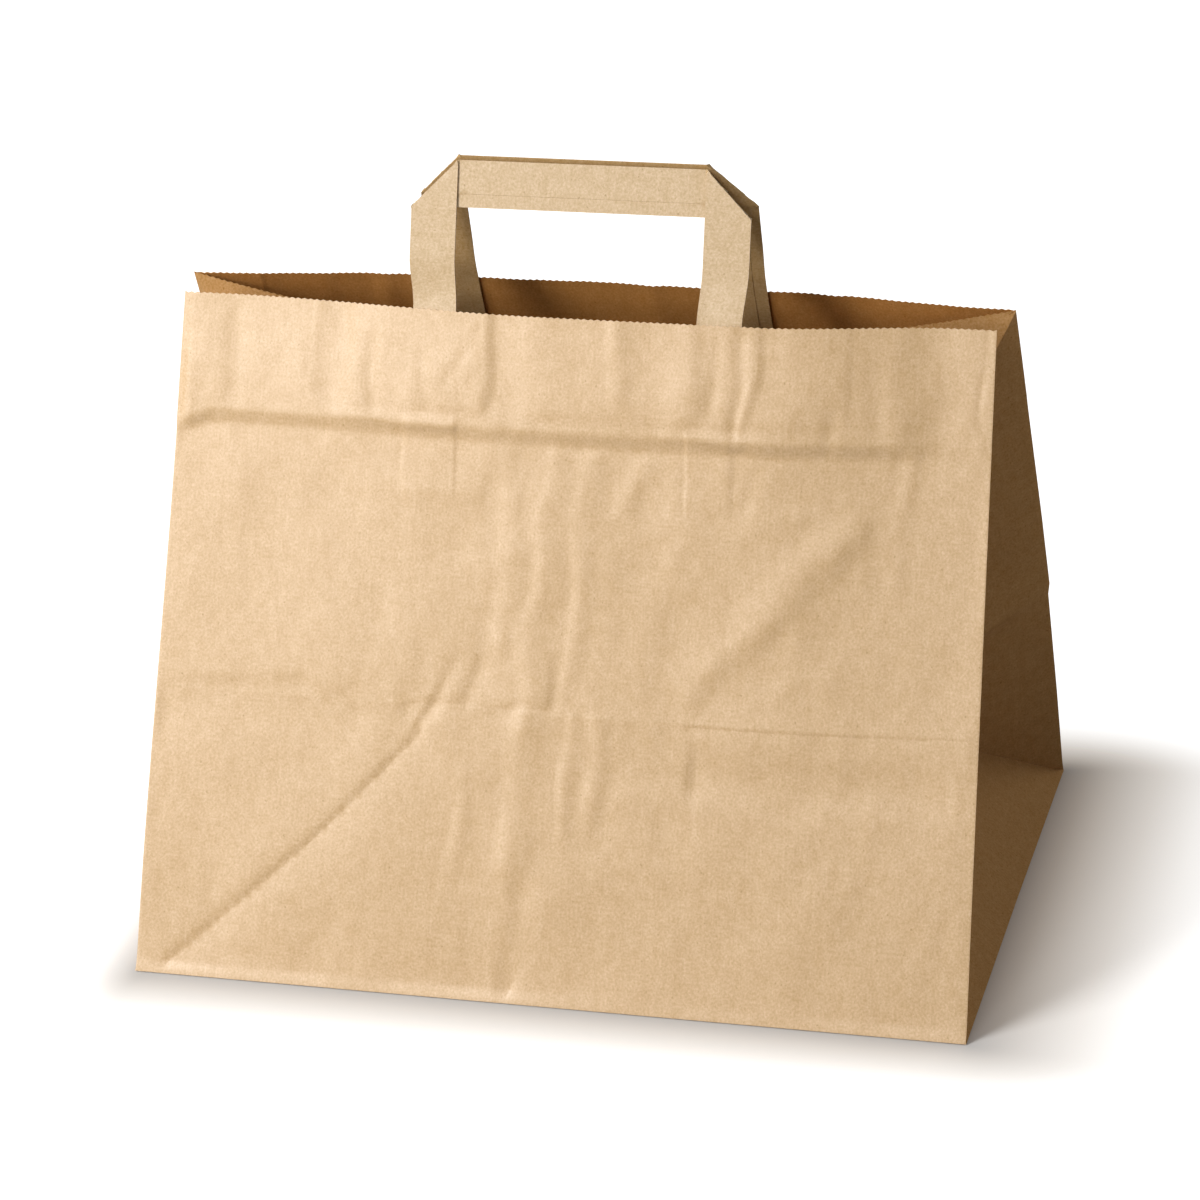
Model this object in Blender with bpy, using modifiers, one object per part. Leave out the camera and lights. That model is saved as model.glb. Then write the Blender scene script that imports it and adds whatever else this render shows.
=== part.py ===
"""Paper carrier bag with a block bottom, two side gussets and two flat folded handles.

Metres, +Z up. The origin is the middle of the base, on the surface that the bag stands on.
The front is at -Y. The bag stands half open: its front and back panels lean together, and
each side gusset is folded inwards between them.
"""

import math
from dataclasses import dataclass

import bmesh
import bpy
from mathutils import Vector

# Bag body
BAG_WIDTH = 0.320
BAG_DEPTH = 0.220
PANEL_HEIGHT = 0.260
PAPER = 0.00015
MOUTH_AT_CORNERS = 0.020
FOLD_WIDTH = 0.0008
CREASE_WIDTH = 0.0006
TOP_TAPER = 0.0036
BACK_LEAN = 0.0145

# Top edge
TOOTH_PITCH = 0.0026
TOOTH_DEPTH = 0.0005

# Lengthwise glued seam on the back panel, and the glued bottom
SEAM_WIDTH = 0.027
FLAP_OVERLAP = 0.012
PLY_STEP = 0.0004
RIM_WIDTH = 0.002
LIP_HEIGHT = 0.006
LIP_BULGE = 0.0007

# How far each panel bellies out at the mouth
FRONT_BELLY = 0.0092
BACK_BELLY = 0.0062
BELLY_SHORTENING = 0.36

# Where the bellies rise and fall, as shares of the panel's width from its middle
FRONT_RISE_FROM = -0.45
FRONT_RISE_SPAN = 0.42
FRONT_FALL_TO = 0.46
FRONT_FALL_SPAN = 0.24
BACK_RAMP_SPAN = 0.28

# Creases left by flat packing
PACK_FOLD = BAG_DEPTH / 2
PACK_FOLD_RELIEF = 0.0012
PACK_FOLD_REACH = 0.013
STIFF_EDGE = 0.020
BAND_LEVEL = 0.2095
BAND_HEIGHT = 0.0055
BAND_STEP = 0.0011

# Handles
STRAP_WIDTH = 0.0175
STRAP_THICKNESS = 0.0005
STRAP_PLY_GAP = 0.0002
HANDLE_WIDTH = 0.129
HANDLE_RISE = 0.056
LEG_GLUED = 0.070
STRAP_SETTLE = 0.020
HANDLES_MEET_Y = 0.0015

# Paper patches glued over the handles' legs
PATCH_WIDTH = 0.210
PATCH_HEIGHT = 0.036
PATCH_BELOW_EDGE = 0.002
PATCH_DRAPE = 0.004

GLUE_GAP = 0.0003

FRONT, BACK = -1, 1
RIGHT, LEFT = 1, -1

BAND_TOP = BAND_LEVEL + BAND_HEIGHT
HALF_GUSSET = BAG_DEPTH / 2 - FOLD_WIDTH - CREASE_WIDTH / 2
LEAN_SIN = (BAG_DEPTH / 2 - MOUTH_AT_CORNERS / 2) / PANEL_HEIGHT
LEAN_COS = math.sqrt(1 - LEAN_SIN**2)
TRIANGLE_COS = (1 - LEAN_SIN) / LEAN_COS
TRIANGLE_SIN = math.sqrt(1 - TRIANGLE_COS**2)
BOTTOM_PLIES = 3

# Columns of faces across each panel and each half of a gusset, and rows up between its creases
PANEL_COLUMN_COUNT = 32
GUSSET_COLUMN_COUNT = 5
PANEL_ROW_COUNT = 4
TOP_ROW_COUNT = 2


@dataclass(frozen=True)
class SoftFold:
    """A valley (or, with a negative depth, a ridge) pressed along a straight line of a panel."""

    start: tuple
    end: tuple
    depth: float
    reach: float

    def relief(self, across, up):
        line = Vector(self.end) - Vector(self.start)
        offset = Vector((across, up)) - Vector(self.start)
        share = min(max(offset.dot(line) / line.length_squared, 0.0), 1.0)
        away = (offset - line * share).length
        return -self.depth * math.exp(-((away / self.reach) ** 2))


FRONT_FOLDS = (
    SoftFold((-0.152, 0.006), (-0.034, 0.124), 0.0016, 0.007),
    SoftFold((0.050, 0.118), (0.128, 0.205), 0.0014, 0.009),
    SoftFold((-0.010, 0.200), (-0.014, 0.112), 0.0018, 0.008),
    SoftFold((0.012, 0.190), (0.006, 0.128), 0.0012, 0.007),
    SoftFold((-0.028, 0.104), (-0.024, 0.016), -0.0014, 0.009),
)
BACK_FOLDS = (
    SoftFold((0.150, 0.008), (0.040, 0.118), 0.0014, 0.009),
    SoftFold((-0.150, 0.008), (-0.060, 0.098), 0.0012, 0.009),
    SoftFold((0.004, 0.185), (-0.004, 0.030), 0.0015, 0.010),
)


def smooth(value):
    """0 below 0, 1 above 1, and an S-shaped rise between them."""
    value = min(max(value, 0.0), 1.0)
    return value * value * (3 - 2 * value)


def settle(x, y, z):
    """A point of the bag as it stands: the whole bag leans back a little."""
    return Vector((x, y + BACK_LEAN * z, z))


def belly_share(side, across):
    """How much of the belly the panel has at this distance from its middle."""
    if side == BACK:
        return smooth((BAG_WIDTH / 2 - abs(across)) / (BACK_RAMP_SPAN * BAG_WIDTH))
    share = across / BAG_WIDTH
    rise = smooth((share - FRONT_RISE_FROM) / FRONT_RISE_SPAN)
    fall = smooth((FRONT_FALL_TO - share) / FRONT_FALL_SPAN)
    return rise * fall


def panel_relief(side, across, up):
    """How far the panel's paper stands out of its plane, from its creases alone."""
    lip = smooth(up / LIP_HEIGHT) * (1 - smooth((up - LIP_HEIGHT) / (3 * LIP_HEIGHT)))
    fold = PACK_FOLD_RELIEF * max(1 - abs(up - PACK_FOLD) / PACK_FOLD_REACH, 0.0)
    band = BAND_STEP * smooth((up - BAND_LEVEL) / BAND_HEIGHT)
    band *= 1 - max(up - BAND_TOP, 0.0) / (PANEL_HEIGHT - BAND_TOP)
    folds = FRONT_FOLDS if side == FRONT else BACK_FOLDS
    soft = sum(fold.relief(across, up) for fold in folds)
    edge = smooth((BAG_WIDTH / 2 - abs(across)) / STIFF_EDGE)
    foot = smooth(up / LIP_HEIGHT)
    band_share = 1.0 if side == FRONT else 0.5
    return lip * LIP_BULGE + edge * foot * (fold + band_share * band + soft)


def panel_point(side, across, up, inward=0.0):
    """A point of the front or back panel, across from its middle and up from its bottom fold."""
    on_panel = min(up, PANEL_HEIGHT)
    belly = FRONT_BELLY if side == FRONT else BACK_BELLY
    belly *= belly_share(side, across) * (on_panel / PANEL_HEIGHT) ** 2
    out = belly + panel_relief(side, across, on_panel) - inward
    height = up - BELLY_SHORTENING * belly
    taper = TOP_TAPER if side == FRONT else 0.0
    narrowed = across * (1 - taper * on_panel / PANEL_HEIGHT / (BAG_WIDTH / 2))
    from_middle = BAG_DEPTH / 2 - height * LEAN_SIN + out * LEAN_COS
    return settle(narrowed, side * from_middle, height * LEAN_COS + out * LEAN_SIN)


def gusset_shape(across, up):
    """Half a gusset: inward from the side, out from the middle, and up.

    across runs from the panel's fold to the centre crease. Below the 45 degree crease lies the
    bottom triangle. Above it the paper is flat up to the ray from the triangle's tip to the top
    corner, and past that ray it turns towards the middle.
    """
    tip = Vector((HALF_GUSSET * TRIANGLE_SIN, CREASE_WIDTH / 2, HALF_GUSSET * TRIANGLE_COS))
    if up <= across:
        from_middle = CREASE_WIDTH / 2 + HALF_GUSSET - across
        return Vector((up * TRIANGLE_SIN, from_middle, up * TRIANGLE_COS))
    foot = Vector((0, CREASE_WIDTH / 2 + HALF_GUSSET, 0))
    along = Vector((0, -LEAN_SIN, LEAN_COS))
    inwards = Vector((TRIANGLE_SIN, LEAN_SIN - 1, TRIANGLE_COS - LEAN_COS))
    corner_ray = math.atan2(HALF_GUSSET, PANEL_HEIGHT - HALF_GUSSET)
    ray = math.atan2(HALF_GUSSET - across, up - HALF_GUSSET)
    if ray >= corner_ray:
        return foot + along * up + inwards * across
    to_corner = (foot + along * PANEL_HEIGHT - tip).normalized()
    reach = math.hypot(to_corner.x, to_corner.z)
    turn = math.atan2(to_corner.x, to_corner.z) + math.acos(math.cos(corner_ray) / reach)
    to_crease = Vector((math.sin(turn), 0, math.cos(turn)))
    share = 1 - ray / corner_ray
    direction = (
        to_corner * math.sin((1 - share) * corner_ray) + to_crease * math.sin(share * corner_ray)
    ) / math.sin(corner_ray)
    return tip + direction * math.hypot(HALF_GUSSET - across, up - HALF_GUSSET)


def gusset_point(side, half, across, up):
    """A point of the gusset on this side of the bag, in its front or back half."""
    inward, from_middle, height = gusset_shape(across, up)
    ridge = max(1 - abs(up - PACK_FOLD) / PACK_FOLD_REACH, 0.0) if up > across else 0.0
    from_middle -= ridge * PACK_FOLD_RELIEF * math.sin(math.pi * across / HALF_GUSSET)
    if half == FRONT:
        inward += TOP_TAPER * up / PANEL_HEIGHT * (1 - across / HALF_GUSSET)
    return settle(side * (BAG_WIDTH / 2 - inward), half * from_middle, height)


def spaced(start, end, count):
    return [start + (end - start) * step / count for step in range(count + 1)]


def tube_stretches():
    """The flat tube from the front panel's left edge round to it again.

    Each stretch gives its width, its number of columns and the function that folds it up. Between
    two stretches lies the narrow strip of paper that bends round their fold.
    """

    def panel(side):
        return lambda along, up: panel_point(side, -side * (along - BAG_WIDTH / 2), up)

    def half(side, part, from_fold):
        if from_fold:
            return lambda along, up: gusset_point(side, part, along, up)
        return lambda along, up: gusset_point(side, part, HALF_GUSSET - along, up)

    return (
        (BAG_WIDTH, PANEL_COLUMN_COUNT, FOLD_WIDTH, panel(FRONT)),
        (HALF_GUSSET, GUSSET_COLUMN_COUNT, CREASE_WIDTH, half(RIGHT, FRONT, True)),
        (HALF_GUSSET, GUSSET_COLUMN_COUNT, FOLD_WIDTH, half(RIGHT, BACK, False)),
        (BAG_WIDTH, PANEL_COLUMN_COUNT, FOLD_WIDTH, panel(BACK)),
        (HALF_GUSSET, GUSSET_COLUMN_COUNT, CREASE_WIDTH, half(LEFT, BACK, True)),
        (HALF_GUSSET, GUSSET_COLUMN_COUNT, FOLD_WIDTH, half(LEFT, FRONT, False)),
    )


def tube_rows():
    below = spaced(LIP_HEIGHT, HALF_GUSSET, PANEL_ROW_COUNT)
    above = spaced(PACK_FOLD + PACK_FOLD_REACH, BAND_LEVEL, PANEL_ROW_COUNT)
    return [0.0] + below + above + spaced(BAND_TOP, PANEL_HEIGHT, TOP_ROW_COUNT)


def tube_columns():
    """Where the flat tube's columns lie, with two more at the glued seam's edge."""
    columns = []
    start = 0.0
    for width, count, strip, _fold in tube_stretches():
        columns += spaced(start, start + width, count)
        start += width + strip
    back_end = 2 * BAG_WIDTH + BAG_DEPTH
    columns += [back_end - SEAM_WIDTH - PLY_STEP, back_end - SEAM_WIDTH, start]
    return sorted(columns)


def fold_tube(along, up):
    """The folded place of a point of the flat tube."""
    start = 0.0
    slack = 1e-6
    for width, _count, strip, fold in tube_stretches():
        if along <= start + width + slack:
            return fold(min(max(along - start, 0.0), width), up)
        start += width + strip
    return panel_point(FRONT, -BAG_WIDTH / 2, up)


def flat_grid(columns, rows):
    """A flat sheet of paper in the XY plane, with its columns and rows where they are wanted."""
    mesh = bmesh.new()
    across, along = len(columns) - 1, len(rows) - 1
    bmesh.ops.create_grid(mesh, x_segments=across, y_segments=along, size=0.5)
    for vert in mesh.verts:
        column = round((vert.co.x + 0.5) * across)
        row = round((vert.co.y + 0.5) * along)
        vert.co = Vector((columns[column], rows[row], 0))
    return mesh


def crease(mesh, point, direction, span):
    """Cuts the flat sheet along a line, only where it lies between the two ends of span."""
    normal = Vector((-direction[1], direction[0], 0))
    inside = [
        face
        for face in mesh.faces
        if span[0] < face.calc_center_median().x < span[1]
    ]
    edges = {edge for face in inside for edge in face.edges}
    verts = {vert for face in inside for vert in face.verts}
    bmesh.ops.bisect_plane(
        mesh,
        geom=list(verts) + list(edges) + inside,
        dist=1e-6,
        plane_co=Vector((point[0], point[1], 0)),
        plane_no=normal,
    )


def crease_gussets(mesh):
    """The creases of both gussets: the bottom triangle's sides and the rays to the top corners."""
    for gusset_start in (BAG_WIDTH + FOLD_WIDTH, 2 * BAG_WIDTH + BAG_DEPTH + FOLD_WIDTH):
        first = (gusset_start, gusset_start + HALF_GUSSET)
        second = (first[1] + CREASE_WIDTH, first[1] + CREASE_WIDTH + HALF_GUSSET)
        rise = PANEL_HEIGHT - HALF_GUSSET
        crease(mesh, (first[0], 0), (1, 1), first)
        crease(mesh, (second[1], 0), (-1, 1), second)
        crease(mesh, (first[1], HALF_GUSSET), (-HALF_GUSSET, rise), first)
        crease(mesh, (second[0], HALF_GUSSET), (HALF_GUSSET, rise), second)


def cut_teeth(mesh):
    """The serrated top edge: each stretch of it between two columns gets whole teeth."""
    top = [
        edge
        for edge in mesh.edges
        if min(vert.co.y for vert in edge.verts) > PANEL_HEIGHT - TOOTH_DEPTH / 2
    ]
    for edge in top:
        teeth = round(edge.calc_length() / TOOTH_PITCH)
        vert = edge.verts[0]
        for step in range(1, 2 * teeth):
            edge, vert = bmesh.utils.edge_split(edge, vert, 1 / (2 * teeth - step + 1))
            if step % 2:
                vert.co.y -= TOOTH_DEPTH
            edge = next(link for link in vert.link_edges if link is not edge)


def bottom_faces(mesh):
    return [face for face in mesh.faces if max(vert.co.z for vert in face.verts) < PAPER / 100]


def cut_bottom(mesh, distance, normal):
    faces = bottom_faces(mesh)
    edges = {edge for face in faces for edge in face.edges}
    verts = {vert for face in faces for vert in face.verts}
    direction = Vector(normal).normalized()
    bmesh.ops.bisect_plane(
        mesh,
        geom=list(verts) + list(edges) + faces,
        dist=1e-6,
        plane_co=direction * distance,
        plane_no=direction,
    )


def flap_depth(side, point):
    """How far this point of the bottom lies inside the flap that folds in from this panel."""
    from_panel = BAG_DEPTH / 2 - side * point.y
    to_mitre = (BAG_WIDTH / 2 - abs(point.x) - from_panel) / math.sqrt(2)
    return min(FLAP_OVERLAP + side * point.y, to_mitre)


def close_bottom(mesh, plies):
    """The glued bottom: the back flap lies over the front flap, and both over the side triangles.

    The front flap and the triangles lie one and two sheets higher than the back flap, and plies
    gets each point's share of the bottom's full thickness.
    """
    rim = [
        edge
        for edge in mesh.edges
        if edge.is_boundary and max(vert.co.z for vert in edge.verts) < PAPER / 100
    ]
    bmesh.ops.contextual_create(mesh, geom=rim)
    mitre = (BAG_WIDTH / 2 - BAG_DEPTH / 2) / math.sqrt(2)
    for step in (0, PLY_STEP):
        for across in (-1, 1):
            cut_bottom(mesh, FLAP_OVERLAP - step, (0, across, 0))
            for along in (-1, 1):
                cut_bottom(mesh, mitre - step, (across, along, 0))
    for across in (-1, 1):
        cut_bottom(mesh, BAG_WIDTH / 2 - RIM_WIDTH, (across, 0, 0))
        cut_bottom(mesh, BAG_DEPTH / 2 - RIM_WIDTH, (0, across, 0))
    slack = PLY_STEP / 10
    for vert in {vert for face in bottom_faces(mesh) for vert in face.verts}:
        rim_gap = min(BAG_WIDTH / 2 - abs(vert.co.x), BAG_DEPTH / 2 - abs(vert.co.y))
        if rim_gap < RIM_WIDTH - slack:
            vert[plies][0] = 1 / BOTTOM_PLIES
            continue
        sheets_up = 2
        if flap_depth(FRONT, vert.co) > PLY_STEP - slack:
            sheets_up = 1
        if flap_depth(BACK, vert.co) > PLY_STEP - slack:
            sheets_up = 0
        vert.co.z = sheets_up * PAPER
        vert[plies][0] = (BOTTOM_PLIES - sheets_up) / BOTTOM_PLIES


def seam_share(along):
    """The share of the bottom's thickness that the wall has here: one sheet, or two at the seam."""
    back_end = 2 * BAG_WIDTH + BAG_DEPTH
    glued = back_end - SEAM_WIDTH - PLY_STEP / 2 < along < back_end + FOLD_WIDTH / 2
    return (2 if glued else 1) / BOTTOM_PLIES


def paper(name, colour, roughness):
    material = bpy.data.materials.new(name)
    material.use_nodes = True
    shader = material.node_tree.nodes["Principled BSDF"]
    shader.inputs["Base Color"].default_value = (*colour, 1)
    shader.inputs["Roughness"].default_value = roughness
    shader.inputs["Metallic"].default_value = 0.0
    material.diffuse_color = (*colour, 1)
    return material


def add_part(name, mesh, material, collection):
    """Turns a bmesh into a named object of the bag, shaded smooth but for its folds."""
    data = bpy.data.meshes.new(name)
    mesh.to_mesh(data)
    mesh.free()
    data.materials.append(material)
    data.shade_smooth()
    data.set_sharp_from_angle(angle=math.radians(30))
    part = bpy.data.objects.new(name, data)
    collection.objects.link(part)
    return part


def thicken(part, thickness, offset, vertex_group=""):
    """Gives a sheet its thickness, evenly round its folds."""
    wall = part.modifiers.new("paper thickness", "SOLIDIFY")
    wall.thickness = thickness
    wall.offset = offset
    wall.use_even_offset = True
    wall.use_rim = True
    wall.vertex_group = vertex_group


def make_bag_body(material, collection):
    """The bag: one sheet folded into a tube with two gussets, and closed at the bottom."""
    mesh = flat_grid(tube_columns(), tube_rows())
    plies = mesh.verts.layers.deform.new()
    crease_gussets(mesh)
    cut_teeth(mesh)
    for vert in mesh.verts:
        vert[plies][0] = seam_share(vert.co.x)
        vert.co = fold_tube(vert.co.x, vert.co.y)
    bmesh.ops.remove_doubles(mesh, verts=list(mesh.verts), dist=PAPER / 10)
    close_bottom(mesh, plies)
    bmesh.ops.recalc_face_normals(mesh, faces=list(mesh.faces))
    body = add_part("bag_body", mesh, material, collection)
    body.vertex_groups.new(name="plies")
    thicken(body, BOTTOM_PLIES * PAPER, -1.0, "plies")
    return body


LEG_MIDDLE = HANDLE_WIDTH / 2 - STRAP_WIDTH / 2
LEG_DEPTH = PAPER + GLUE_GAP + STRAP_THICKNESS / 2
CROSSBAR_DEPTH = LEG_DEPTH + STRAP_THICKNESS + STRAP_PLY_GAP


def strap_point(side, across, up, inward):
    """A point of a handle: on its panel below the top edge, and above it on the handle's plane.

    The plane leans in until the two handles' crossbars meet.
    """
    on_panel = panel_point(side, across, up, inward)
    if up <= PANEL_HEIGHT:
        return on_panel
    feet = [panel_point(side, leg * LEG_MIDDLE, PANEL_HEIGHT) for leg in (LEFT, RIGHT)]
    foot = (feet[0] + feet[1]) / 2
    from_middle = side * (foot.y - BACK_LEAN * foot.z)
    face = CROSSBAR_DEPTH + STRAP_THICKNESS / 2
    to_meet = from_middle - side * HANDLES_MEET_Y - GLUE_GAP / 2
    lean = math.asin(to_meet / math.hypot(HANDLE_RISE, face)) - math.atan2(face, HANDLE_RISE)
    rise = up - PANEL_HEIGHT
    from_middle -= rise * math.sin(lean) + inward * math.cos(lean)
    height = foot.z + rise * math.cos(lean) - inward * math.sin(lean)
    free = settle(across, side * from_middle, height)
    return on_panel.lerp(free, smooth(rise / STRAP_SETTLE))


def strap_length_to(level):
    """How far from its middle the flat strap is, where its leg passes this level."""
    crossbar_foot = PANEL_HEIGHT + HANDLE_RISE - STRAP_WIDTH
    fold = CROSSBAR_DEPTH - LEG_DEPTH
    return HANDLE_WIDTH / 2 + fold / math.sqrt(2) + crossbar_foot - level


def fold_strap(along, up):
    """Folds the flat strap: past each 45 degree fold it turns down, in the ply next to the panel."""
    side = LEFT if along < 0 else RIGHT
    from_end = HANDLE_WIDTH / 2 - abs(along)
    crossbar_foot = PANEL_HEIGHT + HANDLE_RISE - STRAP_WIDTH
    past_fold = ((up - crossbar_foot) - from_end) / math.sqrt(2)
    fold = CROSSBAR_DEPTH - LEG_DEPTH
    if past_fold < fold / 2:
        return along, up, CROSSBAR_DEPTH
    from_end += fold / math.sqrt(2)
    up -= fold / math.sqrt(2)
    leg_across = HANDLE_WIDTH / 2 - (up - crossbar_foot)
    return side * leg_across, crossbar_foot + from_end, LEG_DEPTH


def make_handle(side, name, material, collection):
    """A flat strap folded at two corners: two legs, and a crossbar in the ply behind them."""
    fold = CROSSBAR_DEPTH - LEG_DEPTH
    bar_foot = PANEL_HEIGHT + HANDLE_RISE - STRAP_WIDTH
    inner = HANDLE_WIDTH / 2 - STRAP_WIDTH
    leg_end = PANEL_HEIGHT - LEG_GLUED
    levels = spaced(bar_foot, PANEL_HEIGHT, 6)[:-1]
    levels += [row for row in reversed(tube_rows()) if row > leg_end] + [leg_end]
    positive = spaced(0, inner, 4) + [strap_length_to(level) for level in levels]
    end = positive[-1]
    columns = [-value for value in reversed(positive[1:])] + positive
    rows = spaced(bar_foot, bar_foot + STRAP_WIDTH, 2)
    mesh = flat_grid(columns, rows)
    for turn in (LEFT, RIGHT):
        for shift in (0, fold):
            start = (turn * (HANDLE_WIDTH / 2 + shift * math.sqrt(2)), bar_foot)
            span = (-end, 0) if turn == LEFT else (0, end)
            crease(mesh, start, (-turn, 1), span)
    for vert in mesh.verts:
        vert.co = strap_point(side, *fold_strap(vert.co.x, vert.co.y))
    handle = add_part(name, mesh, material, collection)
    thicken(handle, STRAP_THICKNESS, 0.0)
    return handle


def make_patch(side, name, material, collection):
    """The paper strip glued over a handle's legs, draped down to the panel beside each leg."""
    below = PAPER + GLUE_GAP + PAPER / 2
    over_leg = STRAP_THICKNESS + GLUE_GAP
    leg_inner = HANDLE_WIDTH / 2 - STRAP_WIDTH - GLUE_GAP
    leg_outer = HANDLE_WIDTH / 2 + GLUE_GAP
    drape = (leg_inner - PATCH_DRAPE, leg_outer + PATCH_DRAPE)
    half = [drape[0], leg_inner, (leg_inner + leg_outer) / 2, leg_outer, drape[1], PATCH_WIDTH / 2]
    for column in spaced(0, BAG_WIDTH / 2, PANEL_COLUMN_COUNT // 2):
        if column < drape[0] or drape[1] < column < PATCH_WIDTH / 2:
            half.append(column)
    half.sort()
    columns = [-value for value in reversed(half[1:])] + half
    top = PANEL_HEIGHT - PATCH_BELOW_EDGE
    foot = top - PATCH_HEIGHT
    rows = [foot] + [row for row in tube_rows() if foot < row < top] + [top]
    mesh = flat_grid(columns, rows)
    for vert in mesh.verts:
        across = abs(vert.co.x)
        rise = smooth((across - leg_inner + PATCH_DRAPE) / PATCH_DRAPE)
        fall = smooth((leg_outer + PATCH_DRAPE - across) / PATCH_DRAPE)
        inward = below + over_leg * rise * fall
        vert.co = panel_point(side, vert.co.x, vert.co.y, inward)
    patch = add_part(name, mesh, material, collection)
    thicken(patch, PAPER, 0.0)
    return patch


def clear_scene():
    for item in list(bpy.data.objects):
        bpy.data.objects.remove(item, do_unlink=True)


def main():
    clear_scene()
    collection = bpy.data.collections.new("paper_carrier_bag")
    bpy.context.scene.collection.children.link(collection)
    kraft = paper("kraft paper", (0.62, 0.42, 0.235), 0.75)
    strap = paper("handle paper", (0.62, 0.48, 0.30), 0.7)
    make_bag_body(kraft, collection)
    make_handle(FRONT, "front_handle", strap, collection)
    make_handle(BACK, "back_handle", strap, collection)
    make_patch(FRONT, "front_handle_patch", kraft, collection)
    make_patch(BACK, "back_handle_patch", kraft, collection)


if __name__ == "__main__":
    main()
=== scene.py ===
"""Looks of a plain kraft paper carrier bag with flat folded handles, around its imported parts.

Metres, +Z up, the front at -Y. The bag is folded from one flat sheet: every point of the sheet has
a place across and up the flat tube, which the fold turns into its place in space. The paper's
creases, dents and waves are reliefs on that sheet.
"""

from __future__ import annotations

import logging
import math
from contextlib import contextmanager
from dataclasses import dataclass, field
from enum import Enum
from typing import Callable, Iterator, Sequence

import bmesh
import bpy
import numpy as np
from mathutils import Matrix, Vector

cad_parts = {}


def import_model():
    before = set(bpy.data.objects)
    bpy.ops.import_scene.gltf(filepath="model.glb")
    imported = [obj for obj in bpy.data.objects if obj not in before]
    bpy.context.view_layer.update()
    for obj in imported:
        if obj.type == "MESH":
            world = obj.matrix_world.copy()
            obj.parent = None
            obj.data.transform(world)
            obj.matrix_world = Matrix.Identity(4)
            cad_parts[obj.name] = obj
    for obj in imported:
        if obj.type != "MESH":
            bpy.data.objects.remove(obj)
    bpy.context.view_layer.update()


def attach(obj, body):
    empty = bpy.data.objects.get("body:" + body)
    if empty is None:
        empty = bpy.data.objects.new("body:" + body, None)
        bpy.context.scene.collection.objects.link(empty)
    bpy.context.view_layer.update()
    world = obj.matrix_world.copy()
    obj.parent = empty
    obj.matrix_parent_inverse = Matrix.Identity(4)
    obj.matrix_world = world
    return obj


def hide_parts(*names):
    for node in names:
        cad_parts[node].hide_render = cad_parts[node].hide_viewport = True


log = logging.getLogger("carrier_bag")

Folding = Callable[[np.ndarray, np.ndarray], np.ndarray]

MM = 0.001

# A crease's depth rises over this many millimetres, and is this share of the way at its path's end
END_FADE = 6.0
END_SHARE = 0.7

# How near a cut may come to a line that is there already, and the flat tube's own slack
SCORE_SNAP = 1e-5
FINE_SNAP = 1e-6
TUBE_SLACK = 1e-7

# The noise of the waves: its size in cells, and the cell of a panel's middle and bottom fold
LATTICE = 64
LATTICE_MIDDLE = 32
LATTICE_FOOT = 8

# How the edge of an embossed sheet wobbles
WOBBLE_SEED = 5
WOBBLE_PITCH = (25, 6)


class Side(Enum):
    """The front or the back of the bag, by the sign of its Y."""

    FRONT = -1
    BACK = 1


class Flank(Enum):
    """The left or the right of the bag, by the sign of its X."""

    LEFT = -1
    RIGHT = 1


class CreaseForm(Enum):
    """How a crease looks across: a soft dent or a pressed line."""

    SOFT = "soft"
    PRESSED = "pressed"


def smooth(value: np.ndarray) -> np.ndarray:
    """An S-shaped rise from 0 at 0 to 1 at 1.

    Args:
        value: Any numbers.

    Returns:
        The same shape, each from 0 to 1.
    """
    share = np.clip(value, 0.0, 1.0)
    return share * share * (3 - 2 * share)


@dataclass(frozen=True)
class Crease:
    """A valley, or with a negative depth a ridge, along a path of straight lines on a panel.

    The path is in millimetres across from the panel's middle and up from its bottom fold. Walking
    along it, the valley's flanks reach `left` and `right` millimetres to each side.
    """

    path: tuple[tuple[float, float], ...]
    depth: float
    left: float
    right: float
    form: CreaseForm = CreaseForm.SOFT

    def relief(self, across: np.ndarray, up: np.ndarray) -> np.ndarray:
        """How far the paper stands out, in metres.

        Args:
            across: Places across the panel, in metres.
            up: Places up the panel, in metres.

        Returns:
            The outward shift at each place.
        """
        strength = 1.0
        if self.form is CreaseForm.SOFT:
            wander = [waves.relief(across, up) for waves in CREASE_WANDER]
            strength = 1 + CREASE_STRENGTH.relief(across, up)
            across, up = across + wander[0], up + wander[1]
        nearest = np.full(np.shape(across), np.inf)
        reach = np.full(np.shape(across), self.left)
        for start, end in zip(self.path, self.path[1:]):
            line = np.subtract(end, start)
            offset_x, offset_y = across / MM - start[0], up / MM - start[1]
            share = np.clip((offset_x * line[0] + offset_y * line[1]) / (line @ line), 0.0, 1.0)
            away = np.hypot(offset_x - share * line[0], offset_y - share * line[1])
            on_left = line[0] * offset_y - line[1] * offset_x > 0
            closer = away < nearest
            nearest = np.where(closer, away, nearest)
            reach = np.where(closer, np.where(on_left, self.left, self.right), reach)
        near = 1 - np.minimum(nearest / reach, 1.0)
        profile = smooth(near) if self.form is CreaseForm.SOFT else near**2
        return -self.depth * MM * profile * strength * self._end_fade(across, up)

    def _end_fade(self, across: np.ndarray, up: np.ndarray) -> np.ndarray:
        """Fades the relief out over the last millimetres of its path.

        Args:
            across: Places across the panel, in metres.
            up: Places up the panel, in metres.

        Returns:
            The share of the relief that is kept at each place.
        """
        fade = 1.0
        for end, before in ((self.path[0], self.path[1]), (self.path[-1], self.path[-2])):
            inwards = np.subtract(before, end) / math.dist(before, end)
            along = (across / MM - end[0]) * inwards[0] + (up / MM - end[1]) * inwards[1]
            fade = fade * smooth(along / END_FADE + END_SHARE)
        return fade


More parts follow.
